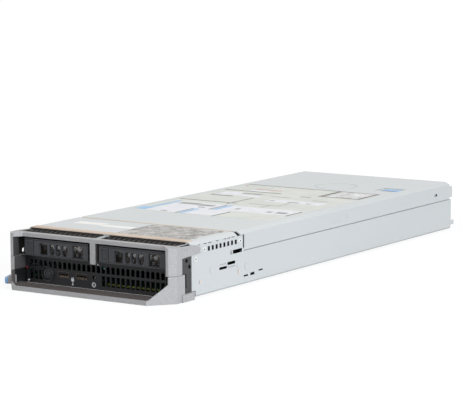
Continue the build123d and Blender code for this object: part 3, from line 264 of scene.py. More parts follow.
rolled_line = 0.6 * MM
bend_scale = 50.0
cover_front = cad_low[1] / MM + 131.0
galvanised, tree, place = start_material("galvanised_steel_sheet")
rolled = add(tree, "ShaderNodeMapping", {"Vector": place, "Scale": (1.0, 0.04, 1.0)})
grain = add(tree, "ShaderNodeTexNoise", {
    "Vector": rolled.outputs[0], "Scale": 1 / rolled_line, "Detail": 2.0,
})
cloud = add(tree, "ShaderNodeTexNoise", {"Vector": place, "Scale": 1 / (71.4 * MM), "Detail": 3.0})
rough = add(tree, "ShaderNodeMapRange", {0: cloud.outputs[0], 1: 0.3, 2: 0.7, 3: 0.42, 4: 0.54})
tone = add(tree, "ShaderNodeMix", {
    0: cloud.outputs[0], 6: linear("#C8CCCC"), 7: linear("#CED0D0"),
}, data_type="RGBA")
geometry = add(tree, "ShaderNodeNewGeometry")
facing = add(tree, "ShaderNodeSeparateXYZ", {0: geometry.outputs["Normal"]})
sideways = add(tree, "ShaderNodeMath", {0: facing.outputs["X"]}, operation="ABSOLUTE")
on_side = add(tree, "ShaderNodeMath", {0: sideways.outputs[0], 1: 0.8}, operation="GREATER_THAN")
spot = add(tree, "ShaderNodeSeparateXYZ", {"Vector": place})
height = add(tree, "ShaderNodeMath", {0: spot.outputs["Z"], 1: bend_scale * MM}, operation="DIVIDE")
beside_cover = add(tree, "ShaderNodeMath", {0: spot.outputs["Y"], 1: cover_front * MM},
                   operation="GREATER_THAN")
on_cover_side = add(tree, "ShaderNodeMath", {0: on_side.outputs[0], 1: beside_cover.outputs[0]},
                    operation="MULTIPLY")
# Painted shade: the side walls darken at the bottom bend, and the cover's sides at its seam and
# fold.
bottom_bend_shade = [(0.4, 0.6), (1.4, 1.0)]
seam_fold_shade = [(30.5, 1.0), (31.2, 0.55), (31.9, 1.0), (47.0, 1.0), (47.6, 0.8), (48.5, 1.0)]
for where, stops in [(on_side, bottom_bend_shade), (on_cover_side, seam_fold_shade)]:
    bend_shade = add(tree, "ShaderNodeValToRGB", {0: height.outputs[0]})
    bend_shade.color_ramp.elements[0].color = (*[stops[0][1]] * 3, 1)
    bend_shade.color_ramp.elements[1].color = (1, 1, 1, 1)
    for level, shade in stops:
        bend_shade.color_ramp.elements.new(level / bend_scale).color = (shade, shade, shade, 1)
    tone = add(tree, "ShaderNodeMix", {
        0: where.outputs[0], 6: tone.outputs[2], 7: bend_shade.outputs[0],
    }, data_type="RGBA", blend_type="MULTIPLY")
bump = add(tree, "ShaderNodeBump", {
    "Height": grain.outputs[0], "Strength": 0.1, "Distance": 0.02 * MM,
})
zinc = add(tree, "ShaderNodeBsdfPrincipled", {
    "Base Color": tone.outputs[2], "Metallic": 0.45, "Roughness": rough.outputs[0],
    "Normal": bump.outputs[0],
})
add(tree, "ShaderNodeOutputMaterial", {"Surface": zinc.outputs[0]})

# Painted shade: near-black for the cut edges of openings, holes and gaps, so that each reads dark.
edge_shade, tree, place = start_material("cut_edge_painted_shade")
edge_mottle = add(tree, "ShaderNodeTexNoise", {"Vector": place, "Scale": 1 / (0.4 * MM), "Detail": 2.0})
tone = add(tree, "ShaderNodeMix", {
    0: edge_mottle.outputs[0], 6: linear("#0E0F10"), 7: linear("#26282A"),
}, data_type="RGBA")
edge = add(tree, "ShaderNodeBsdfPrincipled", {
    "Base Color": tone.outputs[2], "Roughness": 0.6, "Specular IOR Level": 0.2,
})
add(tree, "ShaderNodeOutputMaterial", {"Surface": edge.outputs[0]})

half_width = 93.5
sheet_thickness = 1.0
slack = 0.01
face_y = cad_low[1] / MM + 21.5
tray_front = face_y + 24.5
tray_openings_rear = face_y + 143.0
tray_openings_low = 5.6
tray_openings_high = 45.6


def cut_in_side(middle, normal):
    """Whether a face is a sheared edge in one of the two upright side walls."""
    wall_inside = half_width - sheet_thickness - slack
    return abs(normal.x) < 0.3 and wall_inside < abs(middle.x) < half_width + slack


folded_tray = shaped_like("base_tray", "folded_tray", galvanised, edge_shade)
# The cut edges of the side openings take the painted shade.
second_finish(folded_tray, lambda middle, normal: (
    cut_in_side(middle, normal) and tray_front + 0.1 < middle.y < tray_openings_rear
    and tray_openings_low < middle.z < tray_openings_high
))

# The lowered strip of the front panel has two rows of slots over black foam standing in for shade,
# and the slots' cut edges are painted near-black as shade, so each slot is black. The zinc webs
# between the slots and the riser behind them are painted dark as shade, but not the solid bridge in
# the middle.
strip_top = 48.35
slot_rows_front = face_y + 8.6
slot_rows_rear = face_y + 22.4
slot_rows_half = 84.5
panel_rear = face_y + 97
panel_side_high = 46.6
bridge_plain = 2.6
bridge_shaded = 4.2
ends_shaded = 87.5
ends_plain = 88.5
# Painted shade on the vent strip: dark greys over the webs and riser, off the bridge, ends and rim.
vent_web_shade, tree, place = start_material("vent_webs_painted_shade")
spot = add(tree, "ShaderNodeSeparateXYZ", {"Vector": place})
sideways = add(tree, "ShaderNodeMath", {0: spot.outputs["X"]}, operation="ABSOLUTE")
off_bridge = add(tree, "ShaderNodeMapRange", {
    0: sideways.outputs[0], 1: bridge_plain * MM, 2: bridge_shaded * MM, 3: 0.0, 4: 1.0,
})
off_ends = add(tree, "ShaderNodeMapRange", {
    0: sideways.outputs[0], 1: ends_shaded * MM, 2: ends_plain * MM, 3: 1.0, 4: 0.0,
})
behind_rim = add(tree, "ShaderNodeMapRange", {
    0: spot.outputs["Y"], 1: (slot_rows_front - 1.5) * MM, 2: (slot_rows_front - 0.2) * MM,
    3: 0.0, 4: 1.0,
})
shade_mask = add(tree, "ShaderNodeMath", {
    0: off_bridge.outputs[0], 1: off_ends.outputs[0],
}, operation="MULTIPLY")
shade_mask = add(tree, "ShaderNodeMath", {
    0: shade_mask.outputs[0], 1: behind_rim.outputs[0],
}, operation="MULTIPLY")
shade_noise = add(tree, "ShaderNodeTexNoise", {"Vector": place, "Scale": 1 / (1.2 * MM), "Detail": 3.0})
shade_tone = add(tree, "ShaderNodeMix", {
    0: shade_noise.outputs[0], 6: linear("#272321"), 7: linear("#4C4743"),
}, data_type="RGBA")
tone = add(tree, "ShaderNodeMix", {
    0: shade_mask.outputs[0], 6: linear("#B8BAB8"), 7: shade_tone.outputs[2],
}, data_type="RGBA")
shaded_zinc = add(tree, "ShaderNodeBsdfPrincipled", {
    "Base Color": tone.outputs[2], "Roughness": 0.7, "Specular IOR Level": 0.2,
})
add(tree, "ShaderNodeOutputMaterial", {"Surface": shaded_zinc.outputs[0]})
vented_panel = shaped_like("front_top_panel", "vented_panel", galvanised, edge_shade, vent_web_shade)
# The slots' cut edges take the painted shade.
second_finish(vented_panel, lambda middle, normal: (
    abs(normal.z) < 0.3 and strip_top - 0.7 < middle.z < strip_top + 0.1
    and slot_rows_front < middle.y < slot_rows_rear and abs(middle.x) < slot_rows_half
))
# The strip's top and the riser's front face take the vent strip's painted shade.
second_finish(vented_panel, lambda middle, normal: (
    (normal.z > 0.9 and abs(middle.z - strip_top) < 0.1)
    or (normal.y < -0.5 and middle.z > strip_top
        and slot_rows_rear - 1 < middle.y < slot_rows_rear + 2.5)
), 2)
# The cut edges of the panel's side openings take the painted shade.
second_finish(vented_panel, lambda middle, normal: (
    cut_in_side(middle, normal) and middle.z < panel_side_high and middle.y < panel_rear
))

# The cover has a catch slot in each side near the rear, and its latch sits in a drawn cup.
catch_slot_front = face_y + 300
catch_slot_low = 37
catch_slot_high = 41
folded_cover = shaped_like("top_cover", "folded_cover", galvanised, edge_shade)
# The cut edges of the catch slots take the painted shade.
second_finish(folded_cover, lambda middle, normal: (
    cut_in_side(middle, normal) and middle.y > catch_slot_front
    and catch_slot_low < middle.z < catch_slot_high
))
paint(galvanised, "cover_latch_cup")


# Foam under the vent slots: black open-cell foam, cut to a strip and glued up under the panel, put
# there as painted shade that keeps the slots dark. Its cells are drawn at 0.8 mm, and its cut edges
# are a little rounded.
def add_block(work, size, middle, turn=0.0):
    """Adds a block of this size in millimetres round its middle, turned in the blade's face."""
    corners = bmesh.ops.create_cube(work, size=1.0)["verts"]
    bmesh.ops.scale(work, verts=corners, vec=size)
    bmesh.ops.rotate(work, verts=corners, cent=(0, 0, 0), matrix=Matrix.Rotation(turn, 3, "Y"))
    bmesh.ops.translate(work, verts=corners, vec=middle)


def as_object(work, name, *finishes):
    """An object in metres, with these finishes, from a bmesh that was drawn in millimetres."""
    bmesh.ops.scale(work, verts=work.verts, vec=(MM, MM, MM))
    mesh = bpy.data.meshes.new(name)
    work.to_mesh(mesh)
    work.free()
    for finish in finishes:
        mesh.materials.append(finish)
    piece = bpy.data.objects.new(name, mesh)
    bpy.context.collection.objects.link(piece)
    return piece


foam_cell = 0.8 * MM
shade_foam, tree, place = start_material("open_cell_foam_as_shade")
cells = add(tree, "ShaderNodeTexVoronoi", {"Vector": place, "Scale": 1 / foam_cell})
tone = add(tree, "ShaderNodeMix", {
    0: cells.outputs["Distance"], 6: linear("#08080A"), 7: linear("#1A1A1C"),
}, data_type="RGBA")
bump = add(tree, "ShaderNodeBump", {
    "Height": cells.outputs["Distance"], "Strength": 0.6, "Distance": 0.3 * MM,
})
foam = add(tree, "ShaderNodeBsdfPrincipled", {
    "Base Color": tone.outputs[2], "Roughness": 0.95, "Specular IOR Level": 0.05,
    "Normal": bump.outputs[0],
})
add(tree, "ShaderNodeOutputMaterial", {"Surface": foam.outputs[0]})
foam_half = 84.0
foam_low = 46.4
foam_high = 47.7
foam_front = face_y + 8.6
foam_rear = face_y + 22.6
foam_edge = 0.3
work = bmesh.new()
add_block(work, (2 * foam_half, foam_rear - foam_front, foam_high - foam_low),
          (0, (foam_front + foam_rear) / 2, (foam_low + foam_high) / 2))
bmesh.ops.bevel(work, geom=work.edges[:], offset=foam_edge, affect="EDGES", segments=2,
                profile=0.5, material=-1)
vent_shade_foam = as_object(work, "vent_shade_foam", shade_foam)
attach(vent_shade_foam, "chassis")


# Drive cage: steel sheet folded into two open bays and riveted up. It is coloured near-black all
# over as painted shade, so that the bays stay dark round the drives.
cage_shade_black, tree, place = start_material("cage_steel_painted_shade")
cage_mottle = add(tree, "ShaderNodeTexNoise", {"Vector": place, "Scale": 1 / (11.1 * MM), "Detail": 2.0})
tone = add(tree, "ShaderNodeMix", {
    0: cage_mottle.outputs[0], 6: linear("#111112"), 7: linear("#1C1C1E"),
}, data_type="RGBA")
cage_surface = add(tree, "ShaderNodeBsdfPrincipled", {
    "Base Color": tone.outputs[2], "Roughness": 0.5, "Specular IOR Level": 0.25,
})
add(tree, "ShaderNodeOutputMaterial", {"Surface": cage_surface.outputs[0]})
paint(cage_shade_black, "drive_cage")


# Front bezel and release handle: glass-filled moulded plastic with a metallic grey lacquer, whose
# flake is drawn at 0.45 mm so that it shows. The moulded edges have a small radius. The inner faces
# are masked off: above the arms' step they are a dark grey, and below it they are black.
def round_edges(piece, radius, segments=2):
    bevel = piece.modifiers.new("moulded_edges", "BEVEL")
    bevel.width = radius
    bevel.segments = segments
    bevel.limit_method = "ANGLE"
    bevel.angle_limit = math.radians(28)
    bevel.harden_normals = False


flake = 0.45 * MM
bezel_edge = 0.35 * MM
lacquer, tree, place = start_material("grey_metallic_lacquer")
flakes = add(tree, "ShaderNodeTexNoise", {"Vector": place, "Scale": 1 / flake, "Detail": 1.0})
mottle = add(tree, "ShaderNodeTexNoise", {"Vector": place, "Scale": 1 / (1.6 * MM), "Detail": 2.0})
speckle = add(tree, "ShaderNodeMapRange", {0: flakes.outputs[0], 1: 0.35, 2: 0.65, 3: 0.1, 4: 0.7})
blend = add(tree, "ShaderNodeMath", {0: mottle.outputs[0], 1: 0.5, 2: speckle.outputs[0]},
            operation="MULTIPLY_ADD")
tone = add(tree, "ShaderNodeMix", {
    0: blend.outputs[0], 6: linear("#8F8D8D"), 7: linear("#BAB8B7"),
}, data_type="RGBA")
bump = add(tree, "ShaderNodeBump", {
    "Height": mottle.outputs[0], "Strength": 0.25, "Distance": 0.05 * MM,
})
coat = add(tree, "ShaderNodeBsdfPrincipled", {
    "Base Color": tone.outputs[2], "Metallic": 0.15, "Roughness": 0.5, "Specular IOR Level": 0.3,
    "Normal": bump.outputs[0],
})
add(tree, "ShaderNodeOutputMaterial", {"Surface": coat.outputs[0]})

step_low = 13.8
step_high = 14.8
masked, tree, place = start_material("unpainted_black_moulding")
sparks = add(tree, "ShaderNodeTexNoise", {"Vector": place, "Scale": 1 / (0.4 * MM), "Detail": 2.0})
upright = add(tree, "ShaderNodeSeparateXYZ", {"Vector": place})
above_step = add(tree, "ShaderNodeMapRange", {
    0: upright.outputs["Z"], 1: step_low * MM, 2: step_high * MM, 3: 0.0, 4: 1.0,
})
greyed = add(tree, "ShaderNodeMix", {
    0: sparks.outputs[0], 6: linear("#464343"), 7: linear("#565252"),
}, data_type="RGBA")
tone = add(tree, "ShaderNodeMix", {
    0: above_step.outputs[0], 6: linear("#101010"), 7: greyed.outputs[2],
}, data_type="RGBA")
bump = add(tree, "ShaderNodeBump", {
    "Height": sparks.outputs[0], "Strength": 0.2, "Distance": 0.03 * MM,
})
moulding = add(tree, "ShaderNodeBsdfPrincipled", {
    "Base Color": tone.outputs[2], "Roughness": 0.6, "Specular IOR Level": 0.25,
    "Normal": bump.outputs[0],
})
add(tree, "ShaderNodeOutputMaterial", {"Surface": moulding.outputs[0]})

# The handle's ledge carries a plain strip of brown-black polyester film with a satin haze. The
# sloping faces at the handle's ends take the same dark colour as painted shade.
ledge_film_and_shade, tree, place = start_material("dark_ledge_film_and_shade")
haze = add(tree, "ShaderNodeTexNoise", {"Vector": place, "Scale": 1 / (8.33 * MM), "Detail": 3.0})
tone = add(tree, "ShaderNodeMix", {
    0: haze.outputs[0], 6: linear("#4A4442"), 7: linear("#5C5654"),
}, data_type="RGBA")
film = add(tree, "ShaderNodeBsdfPrincipled", {
    "Base Color": tone.outputs[2], "Roughness": 0.6, "Specular IOR Level": 0.15,
})
add(tree, "ShaderNodeOutputMaterial", {"Surface": film.outputs[0]})

pillar_start = 80
divider_half = 4
top_bar_low = 44
masked_rear = face_y + 12


def looks_inwards(middle, normal):
    """Whether a face near one end of the front looks back towards the middle."""
    return middle.x * normal.x < -40


bezel = shaped_like("front_bezel", "bezel_moulding", lacquer, masked)
second_finish(bezel, lambda middle, normal: (
    (abs(middle.x) > pillar_start and looks_inwards(middle, normal)
     and middle.y < masked_rear and middle.z < top_bar_low)
    or (abs(middle.x) < divider_half and abs(normal.x) > 0.5)
    or (normal.z < -0.5 and top_bar_low < middle.z < top_bar_low + 1.5) or normal.y > 0.6
))
round_edges(bezel, bezel_edge)

ledge_half = 77
ledge_high = 5
ledge_rear = face_y - 9
handle = shaped_like("release_handle", "handle_moulding", lacquer, masked, ledge_film_and_shade)
second_finish(handle, lambda middle, normal: (
    (looks_inwards(middle, normal) and normal.z < 0.5)
    or (normal.y > 0.3 and middle.y < masked_rear)
    or (abs(middle.x) > ledge_half and normal.y > 0.3 and middle.y < masked_rear + 2)
))
# The ledge takes the film, and the sloping faces at both ends take it as painted shade.
second_finish(handle, lambda middle, normal: normal.z > 0.5 and (
    looks_inwards(middle, normal)
    or (middle.z < ledge_high and middle.y < ledge_rear and abs(middle.x) < ledge_half)
), 2)
round_edges(handle, bezel_edge)


# Handle release button: a moulded wedge in the bezel's own lacquer, which slides in the handle. Its
# tip, where a thumb goes, is in the pale blue touch-point colour.
touch_blue, tree, place = start_material("blue_touch_point_plastic")
sheen = add(tree, "ShaderNodeTexNoise", {"Vector": place, "Scale": 1 / (8.33 * MM), "Detail": 2.0})
tone = add(tree, "ShaderNodeMix", {
    0: sheen.outputs[0], 6: linear("#86B0DC"), 7: linear("#98BEE6"),
}, data_type="RGBA")
plastic = add(tree, "ShaderNodeBsdfPrincipled", {"Base Color": tone.outputs[2], "Roughness": 0.38})
add(tree, "ShaderNodeOutputMaterial", {"Surface": plastic.outputs[0]})
tip_reach = 6.4 * MM
wedge_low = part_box("handle_release_button")[0]
blue_tipped, tree, place = start_material("blue_tipped_lacquer")
across = add(tree, "ShaderNodeSeparateXYZ", {"Vector": place})
tip = add(tree, "ShaderNodeMapRange", {
    0: across.outputs["X"], 1: wedge_low.x + tip_reach, 2: wedge_low.x + tip_reach + 0.2 * MM,
    3: 0.0, 4: 1.0,
})
flakes = add(tree, "ShaderNodeTexNoise", {"Vector": place, "Scale": 1 / flake, "Detail": 1.0})
grey = add(tree, "ShaderNodeMix", {
    0: flakes.outputs[0], 6: linear("#8F8D8D"), 7: linear("#BAB8B7"),
}, data_type="RGBA")
tone = add(tree, "ShaderNodeMix", {
    0: tip.outputs[0], 6: linear("#86B0DC"), 7: grey.outputs[2],
}, data_type="RGBA")
tipped = add(tree, "ShaderNodeBsdfPrincipled", {"Base Color": tone.outputs[2], "Roughness": 0.45})
add(tree, "ShaderNodeOutputMaterial", {"Surface": tipped.outputs[0]})
round_edges(shaped_like("handle_release_button", "thumb_wedge", blue_tipped), bezel_edge)


# Black plastic: grille, brackets, ring, connector housings, sockets. Injection-moulded and spark
# textured, so it is a soft satin black with an even grain, drawn at 0.35 mm so that it shows.
spark_grain = 0.35 * MM
satin_black, tree, place = start_material("black_moulded_abs")
sparks = add(tree, "ShaderNodeTexNoise", {"Vector": place, "Scale": 1 / spark_grain, "Detail": 2.0})
wear = add(tree, "ShaderNodeTexNoise", {"Vector": place, "Scale": 1 / (16.7 * MM), "Detail": 3.0})
rough = add(tree, "ShaderNodeMapRange", {0: wear.outputs[0], 1: 0.3, 2: 0.7, 3: 0.42, 4: 0.55})
tone = add(tree, "ShaderNodeMix", {
    0: wear.outputs[0], 6: linear("#1A1A1C"), 7: linear("#242426"),
}, data_type="RGBA")
bump = add(tree, "ShaderNodeBump", {
    "Height": sparks.outputs[0], "Strength": 0.2, "Distance": 0.03 * MM,
})
abs_black = add(tree, "ShaderNodeBsdfPrincipled", {
    "Base Color": tone.outputs[2], "Roughness": rough.outputs[0], "Specular IOR Level": 0.3,
    "Normal": bump.outputs[0],
})
add(tree, "ShaderNodeOutputMaterial", {"Surface": abs_black.outputs[0]})
paint(satin_black, "front_grille", "power_button_ring", "usb_tongues", "backplane_connectors",
      "processor_sockets", "memory_sockets", "coin_cell_holder", "fabric_connectors",
      "rear_power_connector")

# The side brackets are black nylon that has greyed. The screw holes in the right one are painted
# near-black as shade.
bracket_black, tree, place = start_material("greyed_black_nylon")
sparks = add(tree, "ShaderNodeTexNoise", {"Vector": place, "Scale": 1 / spark_grain, "Detail": 2.0})
tone = add(tree, "ShaderNodeMix", {
    0: sparks.outputs[0], 6: linear("#3E3C3C"), 7: linear("#4C4A4A"),
}, data_type="RGBA")
nylon = add(tree, "ShaderNodeBsdfPrincipled", {
    "Base Color": tone.outputs[2], "Roughness": 0.5, "Specular IOR Level": 0.3,
})
add(tree, "ShaderNodeOutputMaterial", {"Surface": nylon.outputs[0]})
bracket_holes_front = face_y + 15
bracket_holes_rear = face_y + 25.5
bracket_holes_low = 25
bracket_holes_high = 37
right_bracket = shaped_like("side_bracket_right", "bracket_right_moulding", bracket_black, edge_shade)
# Painted shade in the screw holes.
second_finish(right_bracket, lambda middle, normal: (
    abs(normal.x) < 0.2 and bracket_holes_front < middle.y < bracket_holes_rear
    and bracket_holes_low < middle.z < bracket_holes_high
))
paint(bracket_black, "side_bracket_left")


# Drive carriers, their levers and catches: charcoal moulded plastic, a shade lighter than the
# grille round them, with the same spark texture and finely rounded edges.
charcoal, tree, place = start_material("charcoal_moulded_plastic")
sparks = add(tree, "ShaderNodeTexNoise", {"Vector": place, "Scale": 1 / spark_grain, "Detail": 2.0})
wear = add(tree, "ShaderNodeTexNoise", {"Vector": place, "Scale": 1 / (12.5 * MM), "Detail": 3.0})
tone = add(tree, "ShaderNodeMix", {
    0: wear.outputs[0], 6: linear("#3C3C3F"), 7: linear("#48484B"),
}, data_type="RGBA")
bump = add(tree, "ShaderNodeBump", {
    "Height": sparks.outputs[0], "Strength": 0.2, "Distance": 0.03 * MM,
})
plastic = add(tree, "ShaderNodeBsdfPrincipled", {
    "Base Color": tone.outputs[2], "Roughness": 0.5, "Specular IOR Level": 0.3,
    "Normal": bump.outputs[0],
})
add(tree, "ShaderNodeOutputMaterial", {"Surface": plastic.outputs[0]})
carrier_edge = 0.25 * MM
for side in ("left", "right"):
    for part in ("carrier_handle", "carrier_button"):
        node = f"{part}_{side}"
        round_edges(shaped_like(node, f"{node}_moulding", charcoal), carrier_edge)
paint(charcoal, "carrier_left", "carrier_right")


# Power button: a round moulded cap in charcoal plastic, inside a black ring. It has a groove round
# a low dome with a small dimple in its middle, and the groove and dimple are painted near-black as
# shade.
grille_face = face_y + 10
button_low, button_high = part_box("power_button")
button_x = (button_low.x + button_high.x) / 2 / MM
button_z = (button_low.z + button_high.z) / 2 / MM
button_profile = [
    (0.0, 0.5), (0.5, 0.45), (0.7, 0.1), (1.6, 0.15), (2.4, 0.45), (2.7, 0.9), (2.95, 0.9),
    (3.1, 0.15), (3.4, 0.0), (4.4, 0.0), (4.85, 0.45), (4.85, 5.9), (0.0, 5.9),
]
turn_steps = 48
work = bmesh.new()
ring_of_points = [work.verts.new((radius, depth, 0)) for radius, depth in button_profile]
for first, second in zip(ring_of_points, ring_of_points[1:]):
    work.edges.new((first, second))
bmesh.ops.spin(work, geom=work.verts[:] + work.edges[:], cent=(0, 0, 0), axis=(0, 1, 0),
               angle=math.tau, steps=turn_steps, use_merge=True)
bmesh.ops.remove_doubles(work, verts=work.verts, dist=0.001)
bmesh.ops.recalc_face_normals(work, faces=work.faces)
bmesh.ops.translate(work, verts=work.verts, vec=(button_x, button_low.y / MM, button_z))
power_cap = as_object(work, "power_button_cap", charcoal, edge_shade)
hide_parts("power_button")
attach(power_cap, "power_button")
dimple_radius = 0.75
groove_inner = 2.5
groove_outer = 3.05
cap_top_depth = 2 * MM
for face in power_cap.data.polygons:
    face.use_smooth = True
    reach = math.hypot(face.center.x / MM - button_x, face.center.z / MM - button_z)
    in_shade = reach < dimple_radius or groove_inner < reach < groove_outer
    if in_shade and face.center.y < button_low.y + cap_top_depth:
        face.material_index = 1


# USB shells: folded steel with a thin copper-nickel plate that has gone brown and dull. Each has
# four spring tabs along its lower lip, which plugs have rubbed bright. The standoffs under the
# board have the same plate.
usb_plate, tree, place = start_material("browned_nickel_plate")
stain = add(tree, "ShaderNodeTexNoise", {"Vector": place, "Scale": 1 / (2.5 * MM), "Detail": 3.0})
rough = add(tree, "ShaderNodeMapRange", {0: stain.outputs[0], 1: 0.3, 2: 0.7, 3: 0.35, 4: 0.5})
tone = add(tree, "ShaderNodeMix", {
    0: stain.outputs[0], 6: linear("#443E39"), 7: linear("#625952"),
}, data_type="RGBA")
shell = add(tree, "ShaderNodeBsdfPrincipled", {
    "Base Color": tone.outputs[2], "Metallic": 0.5, "Roughness": rough.outputs[0],
})
add(tree, "ShaderNodeOutputMaterial", {"Surface": shell.outputs[0]})
paint(usb_plate, "usb_shells", "board_standoffs")

tabs_in_port = 4
tab_step = 2.9
tab_radius = 0.95
tab_inset = 0.6
tab_depth = 3.0
shell_low, shell_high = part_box("usb_shells")
shell_wall = 0.5
port_width = 13.1
port_floor = shell_low.z / MM + shell_wall
facing_front = Matrix.Rotation(math.pi / 2, 3, "X")
work = bmesh.new()
for port_x in (shell_low.x / MM + port_width / 2, shell_high.x / MM - port_width / 2):
    for index in range(tabs_in_port):
        tab_x = port_x + (index - (tabs_in_port - 1) / 2) * tab_step
        tab = bmesh.ops.create_circle(work, cap_ends=True, segments=3, radius=tab_radius)["verts"]
        bmesh.ops.rotate(work, verts=tab, cent=(0, 0, 0), matrix=facing_front)
        bmesh.ops.translate(work, verts=tab, vec=(
            tab_x, shell_low.y / MM + tab_inset, port_floor + tab_radius / 2,
        ))
wedges = bmesh.ops.extrude_face_region(work, geom=work.faces[:])
tips = [part for part in wedges["geom"] if isinstance(part, bmesh.types.BMVert)]
bmesh.ops.translate(work, verts=tips, vec=(0, tab_depth, 0))
bmesh.ops.recalc_face_normals(work, faces=work.faces)
bright_tab, tree, place = start_material("bright_spring_steel")
rub = add(tree, "ShaderNodeTexNoise", {"Vector": place, "Scale": 1 / (2.0 * MM), "Detail": 2.0})
tone = add(tree, "ShaderNodeMix", {
    0: rub.outputs[0], 6: linear("#7E6C5F"), 7: linear("#94826F"),
}, data_type="RGBA")
spring = add(tree, "ShaderNodeBsdfPrincipled", {
    "Base Color": tone.outputs[2], "Metallic": 0.5, "Roughness": 0.4,
})
add(tree, "ShaderNodeOutputMaterial", {"Surface": spring.outputs[0]})
spring_tabs = as_object(work, "usb_spring_tabs", bright_tab)
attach(spring_tabs, "chassis")


# Signs and lenses on the grille: a pad-printed plug sign and a ring sign, both generic, and small
# moulded acrylic lenses pressed into it: two white, one red, one teal and a pale amber one.
print_white, tree, place = start_material("white_pad_print")
speck = add(tree, "ShaderNodeTexNoise", {"Vector": place, "Scale": 1 / (0.5 * MM), "Detail": 2.0})
tone = add(tree, "ShaderNodeMix", {
    0: speck.outputs[0], 6: linear("#D8D8DA"), 7: linear("#F4F4F6"),
}, data_type="RGBA")
matt_ink = add(tree, "ShaderNodeBsdfPrincipled", {"Base Color": tone.outputs[2], "Roughness": 0.6})
add(tree, "ShaderNodeOutputMaterial", {"Surface": matt_ink.outputs[0]})
print_skin = 0.08
print_y = grille_face - print_skin / 2
plug_x = -29.8
work = bmesh.new()
for x, z, width, height in [
    (plug_x, 6.9, 3.0, 2.6), (plug_x - 0.8, 8.8, 0.5, 1.3), (plug_x + 0.8, 8.8, 0.5, 1.3),
    (plug_x, 4.4, 0.7, 2.6), (plug_x, 2.6, 1.5, 1.2),
]:
    add_block(work, (width, print_skin, height), (x, print_y, z))
sign_x = -5.4
sign_z = 4.6
sign_radius = 1.9
sign_line = 0.75
sign_parts = 16
part_length = math.tau * sign_radius / sign_parts * 1.1
for index in range(sign_parts):
    turn = math.tau * index / sign_parts
    part_x = sign_x + sign_radius * math.sin(turn)
    part_z = sign_z + sign_radius * math.cos(turn)
    add_block(work, (part_length, print_skin, sign_line), (part_x, print_y, part_z), turn)
add_block(work, (0.55, print_skin, 1.9), (sign_x, print_y, sign_z))
grille_signs = as_object(work, "grille_signs", print_white)
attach(grille_signs, "chassis")

lens_rings = 6
lens_sides = 16
lens_flatness = 0.45
lens_collar = 1.2
for name, x, depth, z, radius, first, second in [
    ("divider_lens", -0.4, 0.0, 23.7, 0.95, "#DADCDD", "#F2F3F4"),
    ("status_lens", -4.5, 1.4, 11.0, 0.85, "#D9C3A6", "#F4E6D2"),
    ("fault_lens", -82.9, -0.45, 14.4, 0.85, "#8E1B1B", "#B02424"),
    ("corner_lens", -80.9, -0.45, 2.7, 0.85, "#C9CACC", "#ECEDEE"),
    ("activity_lens", 4.9, 2.4, 20.4, 1.1, "#3E6C74", "#6FA0A8"),
]:
    work = bmesh.new()
    bmesh.ops.create_uvsphere(work, u_segments=lens_sides, v_segments=lens_rings, radius=radius)
    bmesh.ops.bisect_plane(work, geom=work.verts[:] + work.edges[:] + work.faces[:],
                           plane_co=(0, 0, 0), plane_no=(0, 1, 0), clear_outer=True)
    rim = [edge for edge in work.edges if edge.is_boundary]
    collar = bmesh.ops.extrude_edge_only(work, edges=rim)
    back = [part for part in collar["geom"] if isinstance(part, bmesh.types.BMVert)]
    bmesh.ops.translate(work, verts=back, vec=(0, lens_collar * radius, 0))
    bmesh.ops.contextual_create(work, geom=[edge for edge in work.edges if edge.is_boundary])
    bmesh.ops.recalc_face_normals(work, faces=work.faces)
    bmesh.ops.scale(work, verts=work.verts, vec=(1, lens_flatness, 1))
    bmesh.ops.translate(work, verts=work.verts, vec=(x, grille_face + depth, z))
    tint, tree, place = start_material(name + "_acrylic")
    frost = add(tree, "ShaderNodeTexNoise", {
        "Vector": place, "Scale": 1 / (1.11 * MM), "Detail": 1.0,
    })
    tone = add(tree, "ShaderNodeMix", {
        0: frost.outputs[0], 6: linear(first), 7: linear(second),
    }, data_type="RGBA")
    acrylic = add(tree, "ShaderNodeBsdfPrincipled", {
        "Base Color": tone.outputs[2], "Roughness": 0.2,
    })
    add(tree, "ShaderNodeOutputMaterial", {"Surface": acrylic.outputs[0]})
    lens = as_object(work, name, tint)
    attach(lens, "chassis")

# The light pipes are moulded in clear acrylic. The lower one looks pale, and the upper one is dark.
clear_acrylic, tree, place = start_material("clear_acrylic")
frost = add(tree, "ShaderNodeTexNoise", {"Vector": place, "Scale": 1 / (1.11 * MM), "Detail": 1.0})
tone = add(tree, "ShaderNodeMix", {
    0: frost.outputs[0], 6: linear("#B8BABC"), 7: linear("#D2D4D6"),
}, data_type="RGBA")
acrylic = add(tree, "ShaderNodeBsdfPrincipled", {
    "Base Color": tone.outputs[2], "Roughness": 0.2, "Transmission Weight": 0.4,
})
add(tree, "ShaderNodeOutputMaterial", {"Surface": acrylic.outputs[0]})
lower_pipe_high = 8
light_pipes = shaped_like("front_light_pipes", "moulded_light_pipes", clear_acrylic, satin_black)
second_finish(light_pipes, lambda middle, normal: middle.z > lower_pipe_high)


# Punched mesh behind the lever windows: stainless steel honeycomb. A painted highlight makes pale
# glints on its upper struts, and below them it is painted in dark browns as shade.
mesh_bright = 36.2
mesh_dark = 34.8
honeycomb, tree, place = start_material("stainless_mesh_painted_light")
height = add(tree, "ShaderNodeSeparateXYZ", {"Vector": place})
brown_mottle = add(tree, "ShaderNodeTexNoise", {"Vector": place, "Scale": 1 / (1.4 * MM), "Detail": 3.0})
